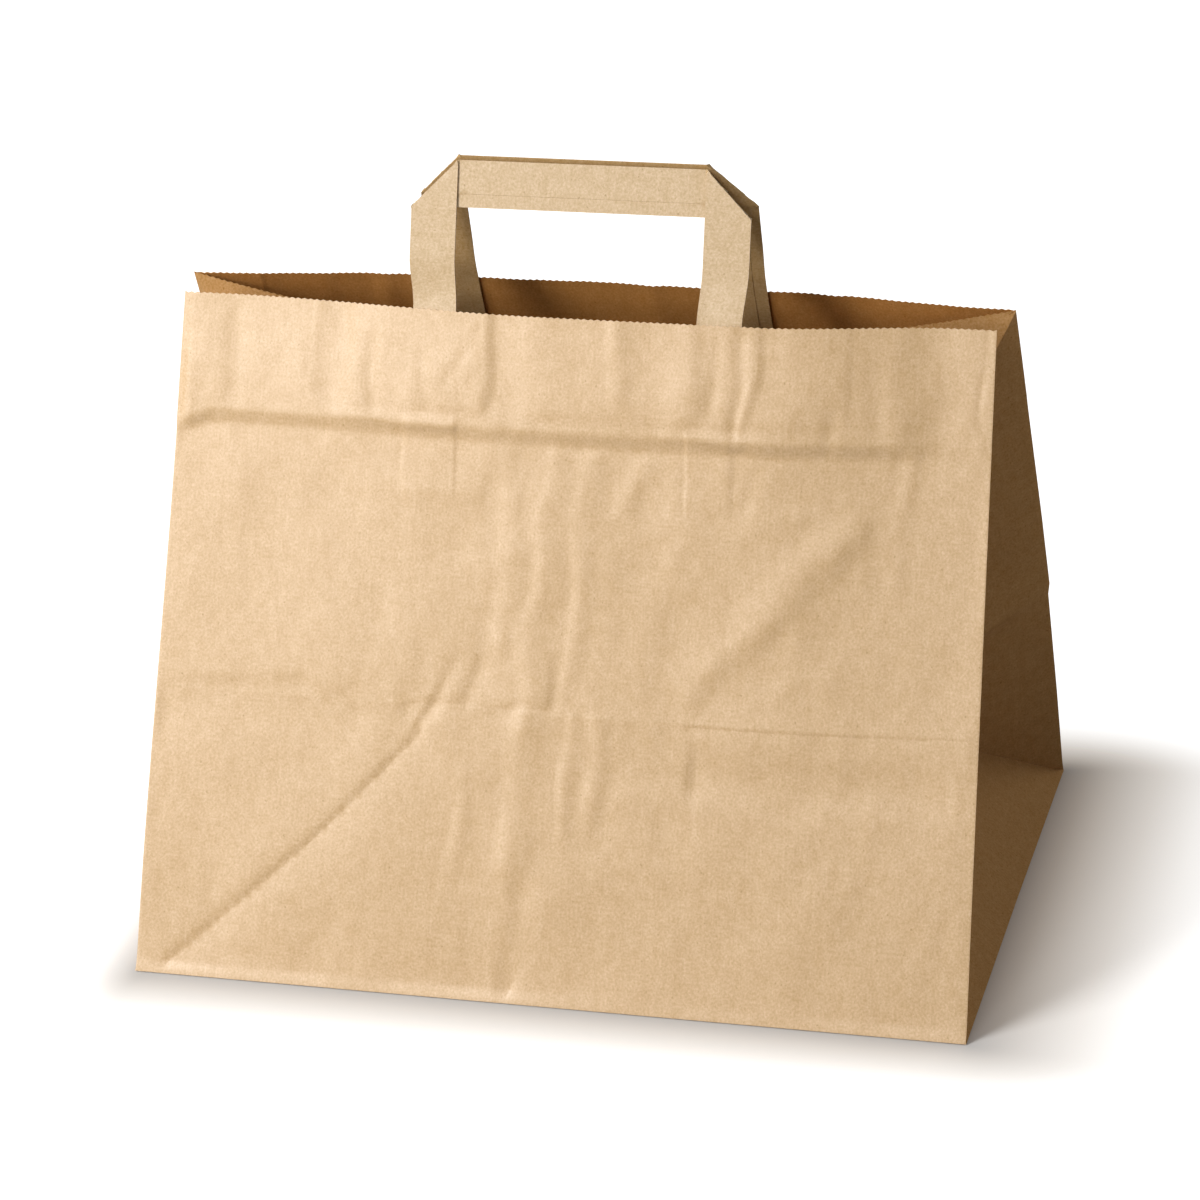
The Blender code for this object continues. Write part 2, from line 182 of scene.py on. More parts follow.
@dataclass(frozen=True)
class Emboss:
    """A sheet glued under the paper, which lifts it over a rectangle, in millimetres."""

    low: tuple[float, float]
    high: tuple[float, float]
    lift: float
    edge: float
    wobble: float = 0.0

    def relief(self, across: np.ndarray, up: np.ndarray) -> np.ndarray:
        """How far the paper stands out over the sheet below it, in metres.

        Args:
            across: Places across the panel, in metres.
            up: Places up the panel, in metres.

        Returns:
            The outward shift at each place.
        """
        edge = self.edge * MM
        across = across + Waves(WOBBLE_SEED, WOBBLE_PITCH, self.wobble).relief(across, up)
        shares = []
        for place, low, high in zip((across, up), self.low, self.high):
            shares.append(smooth((place - low * MM) / edge + 0.5))
            shares.append(smooth((high * MM - place) / edge + 0.5))
        return self.lift * MM * np.prod(shares, axis=0)


@dataclass(frozen=True)
class Waves:
    """The paper's own slow unevenness: smooth noise with a height and a pitch, in millimetres."""

    seed: int
    pitch: tuple[float, float]
    height: float

    def relief(self, across: np.ndarray, up: np.ndarray) -> np.ndarray:
        """How far the paper stands out, in metres.

        Args:
            across: Places across the panel, in metres.
            up: Places up the panel, in metres.

        Returns:
            The outward shift at each place.
        """
        lattice = np.random.default_rng(self.seed).normal(0, 1, (LATTICE, LATTICE))
        column = across / (self.pitch[0] * MM) + LATTICE_MIDDLE
        row = up / (self.pitch[1] * MM) + LATTICE_FOOT
        left = np.floor(column).astype(int) % (LATTICE - 1)
        below = np.floor(row).astype(int) % (LATTICE - 1)
        share_x, share_y = smooth(column - np.floor(column)), smooth(row - np.floor(row))
        lower = lattice[below, left] * (1 - share_x) + lattice[below, left + 1] * share_x
        upper = lattice[below + 1, left] * (1 - share_x) + lattice[below + 1, left + 1] * share_x
        return self.height * MM * (lower * (1 - share_y) + upper * share_y)


PRESSED = CreaseForm.PRESSED

# Soft creases wander a little, and are deeper in one place than in another
CREASE_WANDER = (Waves(3, (13, 17), 1.2), Waves(4, (13, 17), 1.2))
CREASE_STRENGTH = Waves(6, (15, 12), 300)

# The handle's two legs and its patch, pressed through the panel
GLUED_RELIEF = (
    Emboss((-66.6, 190), (-45.6, 219), 0.26, 1.2, 0.8),
    Emboss((45.4, 189.5), (63.0, 219), 0.26, 1.2, 0.8),
    Emboss((-106, 222.5), (106, 300), 0.2, 1.2, 0.4),
)
LEG_SCORES = (-66.6, -45.6, 45.4, 65.0)

# The pitch and height of the paper's waves, from the slowest to the finest
PANEL_WAVES = (((34, 44), 0.25), ((15, 21), 0.16), ((6, 9), 0.07))
PANEL_SEEDS = {Side.FRONT: 11, Side.BACK: 23}
GUSSET_WAVES = (((26, 38), 0.45), ((12, 18), 0.18))
GUSSET_SEED = 31

FRONT_RELIEF = (
    # Long diagonal creases of the folded bottom
    Crease(((-149, 4), (-95, 55), (-55, 98.5)), 0.7, 4.6, 13, PRESSED),
    Crease(((-57, 100), (-50, 110), (-42, 129)), 0.45, 2.5, 5),
    Crease(((-38, 111), (-32, 128)), 0.4, 3, 6),
    Crease(((49, 121), (81, 155), (93, 168), (112, 186)), -0.8, 13, 10),
    Crease(((74, 121), (104, 131)), -0.3, 6, 5),
    # Level crease of the folded bottom
    Crease(((-162, 110), (-120, 111), (-80, 111)), 0.5, 8, 24),
    Crease(((-64, 109.5), (-34, 111.5), (-5, 110)), 0.3, 2.6, 9),
    Crease(((50, 109), (103, 109), (158, 110.5)), 0.22, 2, 7, PRESSED),
    Crease(((52, 89), (100, 88.5), (150, 89)), 0.75, 16, 13),
    # Soft upright folds in the middle, over the level crease
    Crease(((-22, 192), (-22, 158), (-23, 134)), -0.4, 9, 7),
    Crease(((-5, 209), (-6, 190), (-9, 176), (-9, 158), (-15, 141), (-12, 126), (-9, 112)), -0.5, 13, 6.5),
    Crease(((8, 207), (7, 190), (5, 175), (7, 158), (4, 141), (1, 126)), -0.45, 9, 6),
    Crease(((32, 208), (25, 195), (15, 183)), -0.35, 5, 6),
    Crease(((-4, 129), (-4.5, 112)), 0.4, 4.5, 2.4),
    Crease(((-14, 207), (-16, 187)), 0.2, 2.5, 3),
    # Soft upright folds in the middle, below the level crease
    Crease(((-37, 88), (-38, 48)), -0.35, 5, 5),
    Crease(((-12, 109), (-14, 95), (-17, 70), (-19, 50)), -0.6, 12, 7),
    Crease(((4, 109), (4, 64)), -0.35, 5, 3),
    Crease(((15.5, 110), (16, 92), (14, 70)), -0.5, 6, 5.5),
    Crease(((22, 80), (40, 80), (58, 78)), -0.35, 7, 6),
    Crease(((-12, 46), (-13, 20), (-16, 0)), 0.5, 10, 7),
    Crease(((-13, 9), (-16.5, 0)), 0.3, 2, 4, PRESSED),
    # Ends of the handle's legs, pressed through
    Crease(((-90, 192), (-34, 191)), -0.25, 10, 4),
    Crease(((44, 183), (64, 182), (92, 186)), -0.25, 9, 5),
    Crease(((70, 192), (74, 208)), 0.3, 4, 5),
    Crease(((129, 194), (131, 214)), -0.35, 5, 5),
    # Wrinkles over the emboss band
    Crease(((-106, 217.3), (-46, 215.6)), -0.4, 6.5, 1.5),
    Crease(((38, 216), (68, 216)), -0.4, 6.5, 1.5),
    Crease(((-137, 218), (-138, 256)), 0.3, 7, 9),
    Crease(((-98, 219), (-97, 262)), 0.85, 13, 11),
    Crease(((157.2, 266), (157.0, 238)), 0.35, 0.9, 1.2),
    Crease(((155.6, 242), (155.2, 226)), 0.3, 0.9, 1.2),
    Crease(((-80, 222), (-81, 248)), 0.35, 5, 6),
    Crease(((-58, 222), (-59, 246)), 0.25, 5, 5),
    Crease(((-49, 234), (-43, 246), (-38, 256)), 0.3, 2.5, 2.5),
    Crease(((-48, 228), (-36, 238)), 0.25, 2, 2),
    Crease(((-31, 222), (-30, 262)), 0.8, 6, 22),
    Crease(((17, 229), (18, 262)), -0.5, 5, 7),
    Crease(((45, 221), (44, 262)), -0.5, 12, 7),
    Crease(((53, 226), (56, 254)), 0.3, 5, 4),
    Crease(((65, 221), (66, 256)), 0.45, 5, 4),
    Crease(((70, 221), (72, 232), (76, 244), (75, 262)), 0.5, 4, 24),
    Crease(((99, 213), (101, 228)), 0.3, 5, 6),
    Crease(((115, 218), (116, 244)), 0.2, 6, 6),
)

BACK_RELIEF = (
    Crease(((150, 8), (46, 112)), 0.9, 3, 9, PRESSED),
    Crease(((-150, 8), (-60, 98)), -0.7, 8, 8),
    Crease(((-156, 110), (-60, 111), (156, 110)), 0.45, 6, 20),
    Crease(((4, 204), (6, 150), (-4, 30)), 0.7, 9, 7),
    Crease(((-26, 190), (-24, 60)), -0.5, 9, 7),
    Crease(((90, 262), (90, 224)), 0.6, 6, 9),
    Crease(((-84, 262), (-86, 224)), 0.5, 6, 8),
    Crease(((22, 262), (20, 226)), 0.5, 5, 9),
)


@dataclass(frozen=True)
class BagSizes:
    """The sizes of the folded bag, in metres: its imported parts' own, then its small forms'.

    A pair named fade is the place where a form begins to change and how far it takes. The steps of
    the back edge are a level and a shift, in millimetres. Shares of a belly are of the width.
    """

    width: float = 0.320
    depth: float = 0.220
    height: float = 0.260
    paper: float = 0.00015
    mouth_at_corners: float = 0.020
    top_taper: float = 0.0036
    back_lean: float = 0.0145
    fold_radius: float = 0.0004
    crease_width: float = 0.0006
    tooth_pitch: float = 0.0026
    tooth_depth: float = 0.0005
    seam_width: float = 0.027
    flap_overlap: float = 0.012
    ply_step: float = 0.0004
    rim_width: float = 0.002
    lip_height: float = 0.006
    front_belly: float = 0.0092
    back_belly: float = 0.0062
    belly_shortening: float = 0.36
    front_belly_left: tuple[float, float] = (0.45, 0.42)
    front_belly_right: tuple[float, float] = (0.46, 0.24)
    back_belly_rise: float = 0.28
    pack_fold: float = 0.110
    lip_relief: float = 0.0006
    lip_fade: float = 0.05
    pack_fold_relief: float = 0.0003
    pack_fold_reach: float = 0.013
    pack_fold_sharpness: float = 2.2
    band_level: float = 0.2112
    band_height: float = 0.0054
    band_step: float = 0.0017
    band_ease: float = 0.25
    band_droop: float = 0.0045
    band_droop_fade: tuple[float, float] = (0.143, 0.017)
    band_top_loss: float = 0.6
    band_top_fade: tuple[float, float] = (0.226, 0.034)
    band_right_gain: float = 0.2
    band_right_reach: float = 0.1
    band_right_fade: tuple[float, float] = (0.122, 0.020)
    band_back_share: float = 0.6
    band_edge_share: float = 0.35
    relief_edge: float = 0.005
    edge_pull: float = 0.018
    back_edge: tuple[tuple[float, float], ...] = (
        (0, 0.6),
        (50, 1.2),
        (107, 1.6),
        (113, 2.5),
        (150, 2.1),
        (200, 1.1),
        (260, 0),
    )
    front_flare: float = 0.0032
    front_flare_fade: tuple[float, float] = (0.01, 0.22)
    side_ridge: float = 0.0080
    side_ridge_reach: tuple[float, float] = (0.010, 0.034)
    side_hold: float = 0.012
    side_wave_out: float = 0.67
    side_wave_in: float = 0.69

    @property
    def half_gusset(self) -> float:
        """The width of half a gusset, from the panel's fold to the centre crease."""
        return self.depth / 2 - self.crease_width / 2

    @property
    def lean_sin(self) -> float:
        """The sine of a panel's lean towards the mouth."""
        return (self.depth / 2 - self.mouth_at_corners / 2) / self.height

    @property
    def lean_cos(self) -> float:
        """The cosine of a panel's lean towards the mouth."""
        return math.sqrt(1 - self.lean_sin**2)

    @property
    def triangle_cos(self) -> float:
        """How steeply the bottom triangle rises: its height for each metre of paper."""
        return (1 - self.lean_sin) / self.lean_cos

    @property
    def triangle_sin(self) -> float:
        """How far the bottom triangle leans inwards for each metre of paper."""
        return math.sqrt(1 - self.triangle_cos**2)


@dataclass(frozen=True)
class PaperFold:
    """Turns places on the flat sheet into places in space."""

    sizes: BagSizes
    front_relief: Sequence[Crease] = FRONT_RELIEF
    back_relief: Sequence[Crease] = BACK_RELIEF

    def settle(self, points: np.ndarray) -> np.ndarray:
        """Leans points back as the whole bag leans.

        Args:
            points: Places, one in each row.

        Returns:
            The leaned places.
        """
        leaned = points.copy()
        leaned[:, 1] += self.sizes.back_lean * leaned[:, 2]
        return leaned

    def belly_share(self, side: Side, across: np.ndarray) -> np.ndarray:
        """How much of its belly a panel has, from 0 to 1.

        Args:
            side: The panel.
            across: Places across it, in metres.

        Returns:
            The share at each place.
        """
        size = self.sizes
        share = across / size.width
        if side is Side.BACK:
            return smooth((0.5 - np.abs(share)) / size.back_belly_rise)
        left_end, left_rise = size.front_belly_left
        right_end, right_rise = size.front_belly_right
        return smooth((share + left_end) / left_rise) * smooth((right_end - share) / right_rise)

    def panel_relief(self, side: Side, across: np.ndarray, up: np.ndarray) -> np.ndarray:
        """How far a panel's paper stands out of its plane, without its belly.

        Args:
            side: The panel.
            across: Places across it, in metres.
            up: Places up it, in metres.

        Returns:
            The outward shift at each place, in metres.
        """
        size = self.sizes
        lip = -size.lip_relief * smooth(up / size.lip_height)
        lip *= 1 - smooth((up - size.lip_height) / size.lip_fade)
        fold_away = np.abs(up - size.pack_fold) / size.pack_fold_reach
        fold = size.pack_fold_relief * np.exp(-size.pack_fold_sharpness * fold_away)
        soft = sum(item.relief(across, up) for item in self.reliefs(side))
        edge = smooth((size.width / 2 - np.abs(across)) / size.relief_edge)
        foot = smooth(up / size.lip_height)
        band_share = size.band_edge_share + (1 - size.band_edge_share) * edge
        return lip + foot * (edge * (fold + soft) + band_share * self.band(side, across, up))

    def band(self, side: Side, across: np.ndarray, up: np.ndarray) -> np.ndarray:
        """How far the emboss band under the mouth stands out.

        Args:
            side: The panel.
            across: Places across it, in metres.
            up: Places up it, in metres.

        Returns:
            The outward shift at each place, in metres.
        """
        size = self.sizes
        droop_start, droop_reach = size.band_droop_fade
        droop = size.band_droop * smooth((-across - droop_start) / droop_reach)
        rise = (up + droop - size.band_level) / size.band_height
        profile = (1 - size.band_ease) * np.clip(rise, 0.0, 1.0) + size.band_ease * smooth(rise)
        top_start, top_reach = size.band_top_fade
        band = size.band_step * profile
        band *= 1 - size.band_top_loss * smooth((up - top_start) / top_reach)
        if side is Side.BACK:
            return size.band_back_share * band
        right_start, right_reach = size.band_right_fade
        gain = size.band_right_gain * smooth(across / size.band_right_reach)
        return (1 + gain - smooth((across - right_start) / right_reach)) * band

    def spread(self, side: Side, flank: Flank, up: np.ndarray) -> np.ndarray:
        """How far an upright edge of the bag stands out to the side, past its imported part.

        Args:
            side: The edge's panel.
            flank: The edge's end of the panel.
            up: Places up the edge, in metres.

        Returns:
            The distance at each place, in metres.
        """
        size = self.sizes
        if side is Side.FRONT and flank is Flank.LEFT:
            start, reach = size.front_flare_fade
            return size.front_flare * (1 - smooth((up - start) / reach))
        if side is Side.BACK and flank is Flank.RIGHT:
            levels, shifts = zip(*size.back_edge)
            return np.interp(up / MM, levels, shifts) * MM
        return np.zeros(np.shape(up))

    def reliefs(self, side: Side) -> list[Crease | Emboss | Waves]:
        """The creases, embosses and waves of a panel.

        Args:
            side: The panel.

        Returns:
            All its reliefs.
        """
        seed = PANEL_SEEDS[side]
        waves = [
            Waves(seed + step, pitch, height) for step, (pitch, height) in enumerate(PANEL_WAVES)
        ]
        own = self.front_relief if side is Side.FRONT else self.back_relief
        return [*own, *GLUED_RELIEF, *waves]

    def panel_point(
        self, side: Side, across: np.ndarray, up: np.ndarray, inward: np.ndarray | float = 0.0
    ) -> np.ndarray:
        """Places of a panel's paper in space.

        Args:
            side: The panel.
            across: Places across it from its middle, in metres.
            up: Places up it from its bottom fold, in metres.
            inward: How far inside the paper the places are, in metres.

        Returns:
            The places, one in each row.
        """
        size = self.sizes
        on_panel = np.minimum(up, size.height)
        belly = size.front_belly if side is Side.FRONT else size.back_belly
        belly = belly * self.belly_share(side, across) * (on_panel / size.height) ** 2
        out = belly + self.panel_relief(side, across, on_panel) - inward
        height = up - size.belly_shortening * belly
        taper = size.top_taper if side is Side.FRONT else 0.0
        narrowed = across * (1 - taper * on_panel / size.height / (size.width / 2))
        from_middle = size.depth / 2 - height * size.lean_sin + out * size.lean_cos
        level = height * size.lean_cos + out * size.lean_sin
        for flank in Flank:
            share = np.clip(flank.value * across / (size.width / 2), 0, 1)
            narrowed = narrowed + flank.value * self.spread(side, flank, on_panel) * share**3
        return self.settle(np.column_stack([narrowed, side.value * from_middle, level]))

    def gusset_shape(self, across: np.ndarray, up: np.ndarray) -> np.ndarray:
        """Half a gusset: inward from the side, out from the middle, and up.

        Args:
            across: Places from the panel's fold towards the centre crease, in metres.
            up: Places up the gusset, in metres.

        Returns:
            The three distances, one place in each row.
        """
        size = self.sizes
        half, lean_sin, lean_cos = size.half_gusset, size.lean_sin, size.lean_cos
        rise_in, rise_up = size.triangle_sin, size.triangle_cos
        tip = np.array([half * rise_in, size.crease_width / 2, half * rise_up])
        foot = np.array([0, size.crease_width / 2 + half, 0])
        along = np.array([0, -lean_sin, lean_cos])
        inwards = np.array([rise_in, lean_sin - 1, rise_up - lean_cos])
        triangle = np.column_stack([up * rise_in, foot[1] - across, up * rise_up])
        wing = foot + along * up[:, None] + inwards * across[:, None]
        corner_ray = math.atan2(half, size.height - half)
        ray = np.arctan2(half - across, up - half)
        to_corner = foot + along * size.height - tip
        to_corner /= np.linalg.norm(to_corner)
        reach = math.hypot(to_corner[0], to_corner[2])
        turn = math.atan2(to_corner[0], to_corner[2]) + math.acos(math.cos(corner_ray) / reach)
        to_crease = np.array([math.sin(turn), 0, math.cos(turn)])
        share = np.clip(1 - ray / corner_ray, 0, 1)[:, None]
        direction = to_corner * np.sin((1 - share) * corner_ray)
        direction = (direction + to_crease * np.sin(share * corner_ray)) / math.sin(corner_ray)
        turned = tip + direction * np.hypot(half - across, up - half)[:, None]
        upper = np.where((ray >= corner_ray)[:, None], wing, turned)
        return np.where((up <= across)[:, None], triangle, upper)

    def gusset_point(
        self, flank: Flank, side: Side, across: np.ndarray, up: np.ndarray
    ) -> np.ndarray:
        """Places of a gusset's paper in space.

        Args:
            flank: The side of the bag that the gusset closes.
            side: Its front or back half.
            across: Places from the panel's fold towards the centre crease, in metres.
            up: Places up the gusset, in metres.

        Returns:
            The places, one in each row.
        """
        size = self.sizes
        inward, from_middle, level = self.gusset_shape(across, up).T
        above = np.where(up > across, 1.0, 0.0)
        below_reach, above_reach = size.side_ridge_reach
        past = up - size.pack_fold
        ridge = np.where(past > 0, 1 - past / above_reach, 1 + past / below_reach)
        ridge = smooth(ridge) * above * np.sin(math.pi * np.clip(across / size.half_gusset, 0, 1))
        kept = 1 - across / size.half_gusset
        inward = inward - self.spread(side, flank, up) * kept
        if side is Side.FRONT:
            inward = inward + size.top_taper * up / size.height * kept
        edge = np.full(len(up), flank.value * size.width / 2)
        pulled = self.panel_relief(side, edge, np.minimum(up, size.height))
        pulled = pulled * (1 - smooth(across / size.edge_pull))
        from_middle = from_middle + pulled * size.lean_cos
        level = level + pulled * size.lean_sin
        held = smooth(across / size.side_hold)
        held = held * smooth((size.half_gusset - across) / size.side_hold)
        held = held * smooth(up / size.side_hold)
        seed = GUSSET_SEED + 2 * side.value + 4 * flank.value
        wave = sum(
            Waves(seed + step, pitch, height).relief(across, up)
            for step, (pitch, height) in enumerate(GUSSET_WAVES)
        )
        wave = wave * held + size.side_ridge * ridge
        to_side = flank.value * (size.width / 2 - inward + size.side_wave_out * wave)
        to_panel = side.value * (from_middle - size.side_wave_in * wave)
        return self.settle(np.column_stack([to_side, to_panel, level]))


def spaced(start: float, end: float, count: int) -> list[float]:
    """Even steps between two numbers, with both ends.

    Args:
        start: The first number.
        end: The last number.
        count: How many steps.

    Returns:
        count + 1 numbers.
    """
    return [start + (end - start) * step / count for step in range(count + 1)]


def pick(piece: bpy.types.Object) -> None:
    """Selects one object alone and makes it the active one.

    Args:
        piece: The object.
    """
    bpy.ops.object.select_all(action="DESELECT")
    bpy.context.view_layer.objects.active = piece
    piece.select_set(True)


@contextmanager
def edit_mode(piece: bpy.types.Object) -> Iterator[None]:
    """Puts one object in edit mode with nothing selected, and back again.

    Args:
        piece: The object to edit.

    Yields:
        Nothing.
    """
    pick(piece)
    bpy.ops.object.mode_set(mode="EDIT")
    bpy.ops.mesh.select_all(action="DESELECT")
    try:
        yield
    finally:
        bpy.ops.object.mode_set(mode="OBJECT")
        piece.select_set(False)


def select_faces(piece: bpy.types.Object, wanted: Callable[[Vector], bool]) -> None:
    """Selects the faces whose middle is wanted, in edit mode.

    Args:
        piece: The object in edit mode.
        wanted: Says whether a face's middle is wanted.
    """
    mesh = bmesh.from_edit_mesh(piece.data)
    for face in mesh.faces:
        face.select_set(wanted(face.calc_center_median()))
    bmesh.update_edit_mesh(piece.data)


def select_edges(piece: bpy.types.Object, wanted: Callable[[bmesh.types.BMEdge], bool]) -> None:
    """Selects the edges that are wanted, in edit mode.

    Args:
        piece: The object in edit mode.
        wanted: Says whether an edge is wanted.
    """
    bpy.ops.mesh.select_mode(type="EDGE")
    mesh = bmesh.from_edit_mesh(piece.data)
    for edge in mesh.edges:
        edge.select_set(wanted(edge))
    bmesh.update_edit_mesh(piece.data)


def vertex_places(piece: bpy.types.Object) -> np.ndarray:
    """Reads the places of an object's vertices.

    Args:
        piece: The object.

    Returns:
        The places, one in each row.
    """
    places = np.empty(len(piece.data.vertices) * 3)
    piece.data.vertices.foreach_get("co", places)
    return places.reshape(-1, 3)


def place_vertices(piece: bpy.types.Object, places: np.ndarray) -> None:
    """Moves an object's vertices to new places, one in each row."""
    piece.data.vertices.foreach_set("co", places.ravel())
    piece.data.update()


def flat_sheet(name: str, columns: Sequence[float], rows: Sequence[float]) -> bpy.types.Object:
    """A flat sheet of paper in the XY plane, with its lines where they are wanted.

    Args:
        name: The piece's name.
        columns: Where the lines across the sheet lie.
        rows: Where the lines up the sheet lie.

    Returns:
        The sheet.
    """
    across, along = len(columns) - 1, len(rows) - 1
    bpy.ops.mesh.primitive_grid_add(x_subdivisions=across, y_subdivisions=along, size=1.0)
    sheet = bpy.context.object
    sheet.name = name
    sheet.data.name = name
    places = vertex_places(sheet)
    column = np.rint((places[:, 0] + 0.5) * across).astype(int)
    row = np.rint((places[:, 1] + 0.5) * along).astype(int)
    places[:, 0] = np.array(columns)[column]
    places[:, 1] = np.array(rows)[row]
    place_vertices(sheet, places)
    return sheet


def keep_flat_uv(sheet: bpy.types.Object) -> None:
    """Writes the flat sheet's own metres into its UV map, before it is folded.

    Args:
        sheet: The flat sheet.
    """
    mesh = sheet.data
    layer = mesh.uv_layers.active or mesh.uv_layers.new(name="paper")
    layer.name = "paper"
    corners = np.empty(len(mesh.loops), dtype=int)
    mesh.loops.foreach_get("vertex_index", corners)
    places = vertex_places(sheet)[corners, :2]
    layer.data.foreach_set("uv", places.ravel())


def score(
    sheet: bpy.types.Object,
    point: tuple[float, float],
    direction: tuple[float, float],
    low: tuple[float, float],
    high: tuple[float, float],
) -> None:
    """Cuts the flat sheet's faces along a line, inside a rectangle, so that it can crease there.

    Args:
        sheet: The flat sheet.
        point: A point of the line.
        direction: The line's direction.
        low: The rectangle's lowest corner.
        high: The rectangle's highest corner.
    """
    with edit_mode(sheet):
        bpy.ops.mesh.select_mode(type="FACE")
        select_faces(
            sheet, lambda middle: low[0] < middle.x < high[0] and low[1] < middle.y < high[1]
        )
        bpy.ops.mesh.bisect(
            plane_co=(point[0], point[1], 0),
            plane_no=(-direction[1], direction[0], 0),
            threshold=SCORE_SNAP,
        )


def apply_modifier(piece: bpy.types.Object, name: str) -> None:
    """Applies one modifier of a piece.

    Args:
        piece: The piece.
        name: The modifier's name.
    """
    pick(piece)
    bpy.ops.object.modifier_apply(modifier=name)
    piece.select_set(False)


def thicken(
    piece: bpy.types.Object,
    papers: Sequence[bpy.types.Material],
    thickness: float,
    offset: float,
    group: str = "",
) -> None:
    """Gives a folded sheet its thickness, evenly round its folds, and its two finishes.

    Args:
        piece: The folded sheet.
        papers: The finishes, in pairs of an outer and an inner face.
        thickness: The thickness in metres.
        offset: -1 to go in from the sheet, 0 to go both ways.
        group: The vertex group that thins it, if any.
    """
    for paper in papers:
        piece.data.materials.append(paper)
    wall = piece.modifiers.new("paper thickness", "SOLIDIFY")
    wall.thickness = thickness
    wall.offset = offset
    wall.use_even_offset = True
    wall.use_rim = True
    wall.material_offset = 1
    wall.vertex_group = group
    apply_modifier(piece, wall.name)


def shade(piece: bpy.types.Object, angle: float) -> None:
    """Shades a piece smooth but for its folds.

    Args:
        piece: The piece.
        angle: The fold angle from which an edge stays sharp, in degrees.
    """
    pick(piece)
    bpy.ops.object.shade_smooth_by_angle(angle=math.radians(angle))
    piece.select_set(False)


@dataclass(frozen=True)
class PaperPattern:
    """Noise on the paper that shades its colour.

    The scale is in cells for each metre, across and up. A stop is a level of the noise and how
    much lighter the paper is there.
    """

    scale: tuple[float, float]
    detail: float
    roughness: float
    stops: tuple[tuple[float, float], ...]


GRAIN = PaperPattern((1150, 950), 3.0, 0.65, ((0.3, -0.20), (0.7, 0.17)))
MOTTLE = PaperPattern((260, 200), 4.0, 0.65, ((0.3, -0.10), (0.7, 0.09)))
STREAK = PaperPattern((700, 60), 2.0, 0.5, ((0.3, -0.03), (0.7, 0.03)))
FLECK = PaperPattern((900, 700), 1.0, 0.4, ((0.22, -0.30), (0.30, 0.0)))

# How strongly red and blue follow the level of a shade, so that the dark end is warmer
WARM_RED = 0.7
WARM_BLUE = 1.9


@dataclass(frozen=True)
class KraftFinish:
    """Uncoated kraft paper: long fibres, flecks, mottling and a soft tooth."""

    name: str
    colour: tuple[float, float, float]
    roughness: float = 0.5
    specular: float = 1.0
    glaze: float = 0.8
    contrast: float = 1.0
    tooth_strength: float = 0.35
    tooth_height: float = 0.00012

    def material(self) -> bpy.types.Material:
        """Builds the node material.

        Returns:
            The material.
        """
        material = bpy.data.materials.new(self.name)
        material.use_nodes = True
        nodes, links = material.node_tree.nodes, material.node_tree.links
        shader = nodes["Principled BSDF"]
        shader.inputs["Roughness"].default_value = self.roughness
        shader.inputs["Specular IOR Level"].default_value = self.specular
        shader.inputs["Coat Weight"].default_value = self.glaze
        shader.inputs["Coat Roughness"].default_value = self.roughness
        paper = nodes.new("ShaderNodeUVMap")
        paper.uv_map = "paper"

        def noise(pattern: PaperPattern) -> bpy.types.NodeSocket:
            """Lays a pattern's noise on the paper.

            Args:
                pattern: The pattern.

            Returns:
                The noise.
            """
            mapping = nodes.new("ShaderNodeMapping")
            mapping.inputs["Scale"].default_value = (*pattern.scale, 1)
            links.new(paper.outputs["UV"], mapping.inputs["Vector"])
            texture = nodes.new("ShaderNodeTexNoise")
            texture.inputs["Scale"].default_value = 1.0
            texture.inputs["Detail"].default_value = pattern.detail
            texture.inputs["Roughness"].default_value = pattern.roughness
            links.new(mapping.outputs["Vector"], texture.inputs["Vector"])
            return texture.outputs["Fac"]

        def shade_by(
            source: bpy.types.NodeSocket, pattern: PaperPattern
        ) -> bpy.types.NodeSocket:
            """Makes a colour of a pattern's noise. Its dark end is warmer, as the fibres are.

            Args:
                source: The noise.
                pattern: The pattern.

            Returns:
                The colour, to multiply the paper's by.
            """
            node = nodes.new("ShaderNodeValToRGB")
            for element, (position, change) in zip(node.color_ramp.elements, pattern.stops):
                element.position = position
                level = 1 + change * self.contrast
                element.color = (level**WARM_RED, level, level**WARM_BLUE, 1)
            links.new(source, node.inputs["Fac"])
            return node.outputs["Color"]

        def multiply(
            first: tuple[float, float, float] | bpy.types.NodeSocket,
            second: bpy.types.NodeSocket,
        ) -> bpy.types.NodeSocket:
            """Multiplies two colours.

            Args:
                first: A plain colour or a socket.
                second: A socket.

            Returns:
                Their product.
            """
            node = nodes.new("ShaderNodeMix")
            node.data_type = "RGBA"
            node.blend_type = "MULTIPLY"
            node.inputs["Factor"].default_value = 1.0
            if isinstance(first, tuple):
                node.inputs["A"].default_value = (*first, 1)
            else:
                links.new(first, node.inputs["A"])
            links.new(second, node.inputs["B"])
            return node.outputs["Result"]

        noises = {pattern: noise(pattern) for pattern in (GRAIN, MOTTLE, STREAK, FLECK)}
        colour = self.colour
        for pattern, source in noises.items():
            colour = multiply(colour, shade_by(source, pattern))
        links.new(colour, shader.inputs["Base Color"])

        bump = nodes.new("ShaderNodeBump")
        bump.inputs["Strength"].default_value = self.tooth_strength
        bump.inputs["Distance"].default_value = self.tooth_height
        links.new(noises[GRAIN], bump.inputs["Height"])
        links.new(bump.outputs["Normal"], shader.inputs["Normal"])
        return material


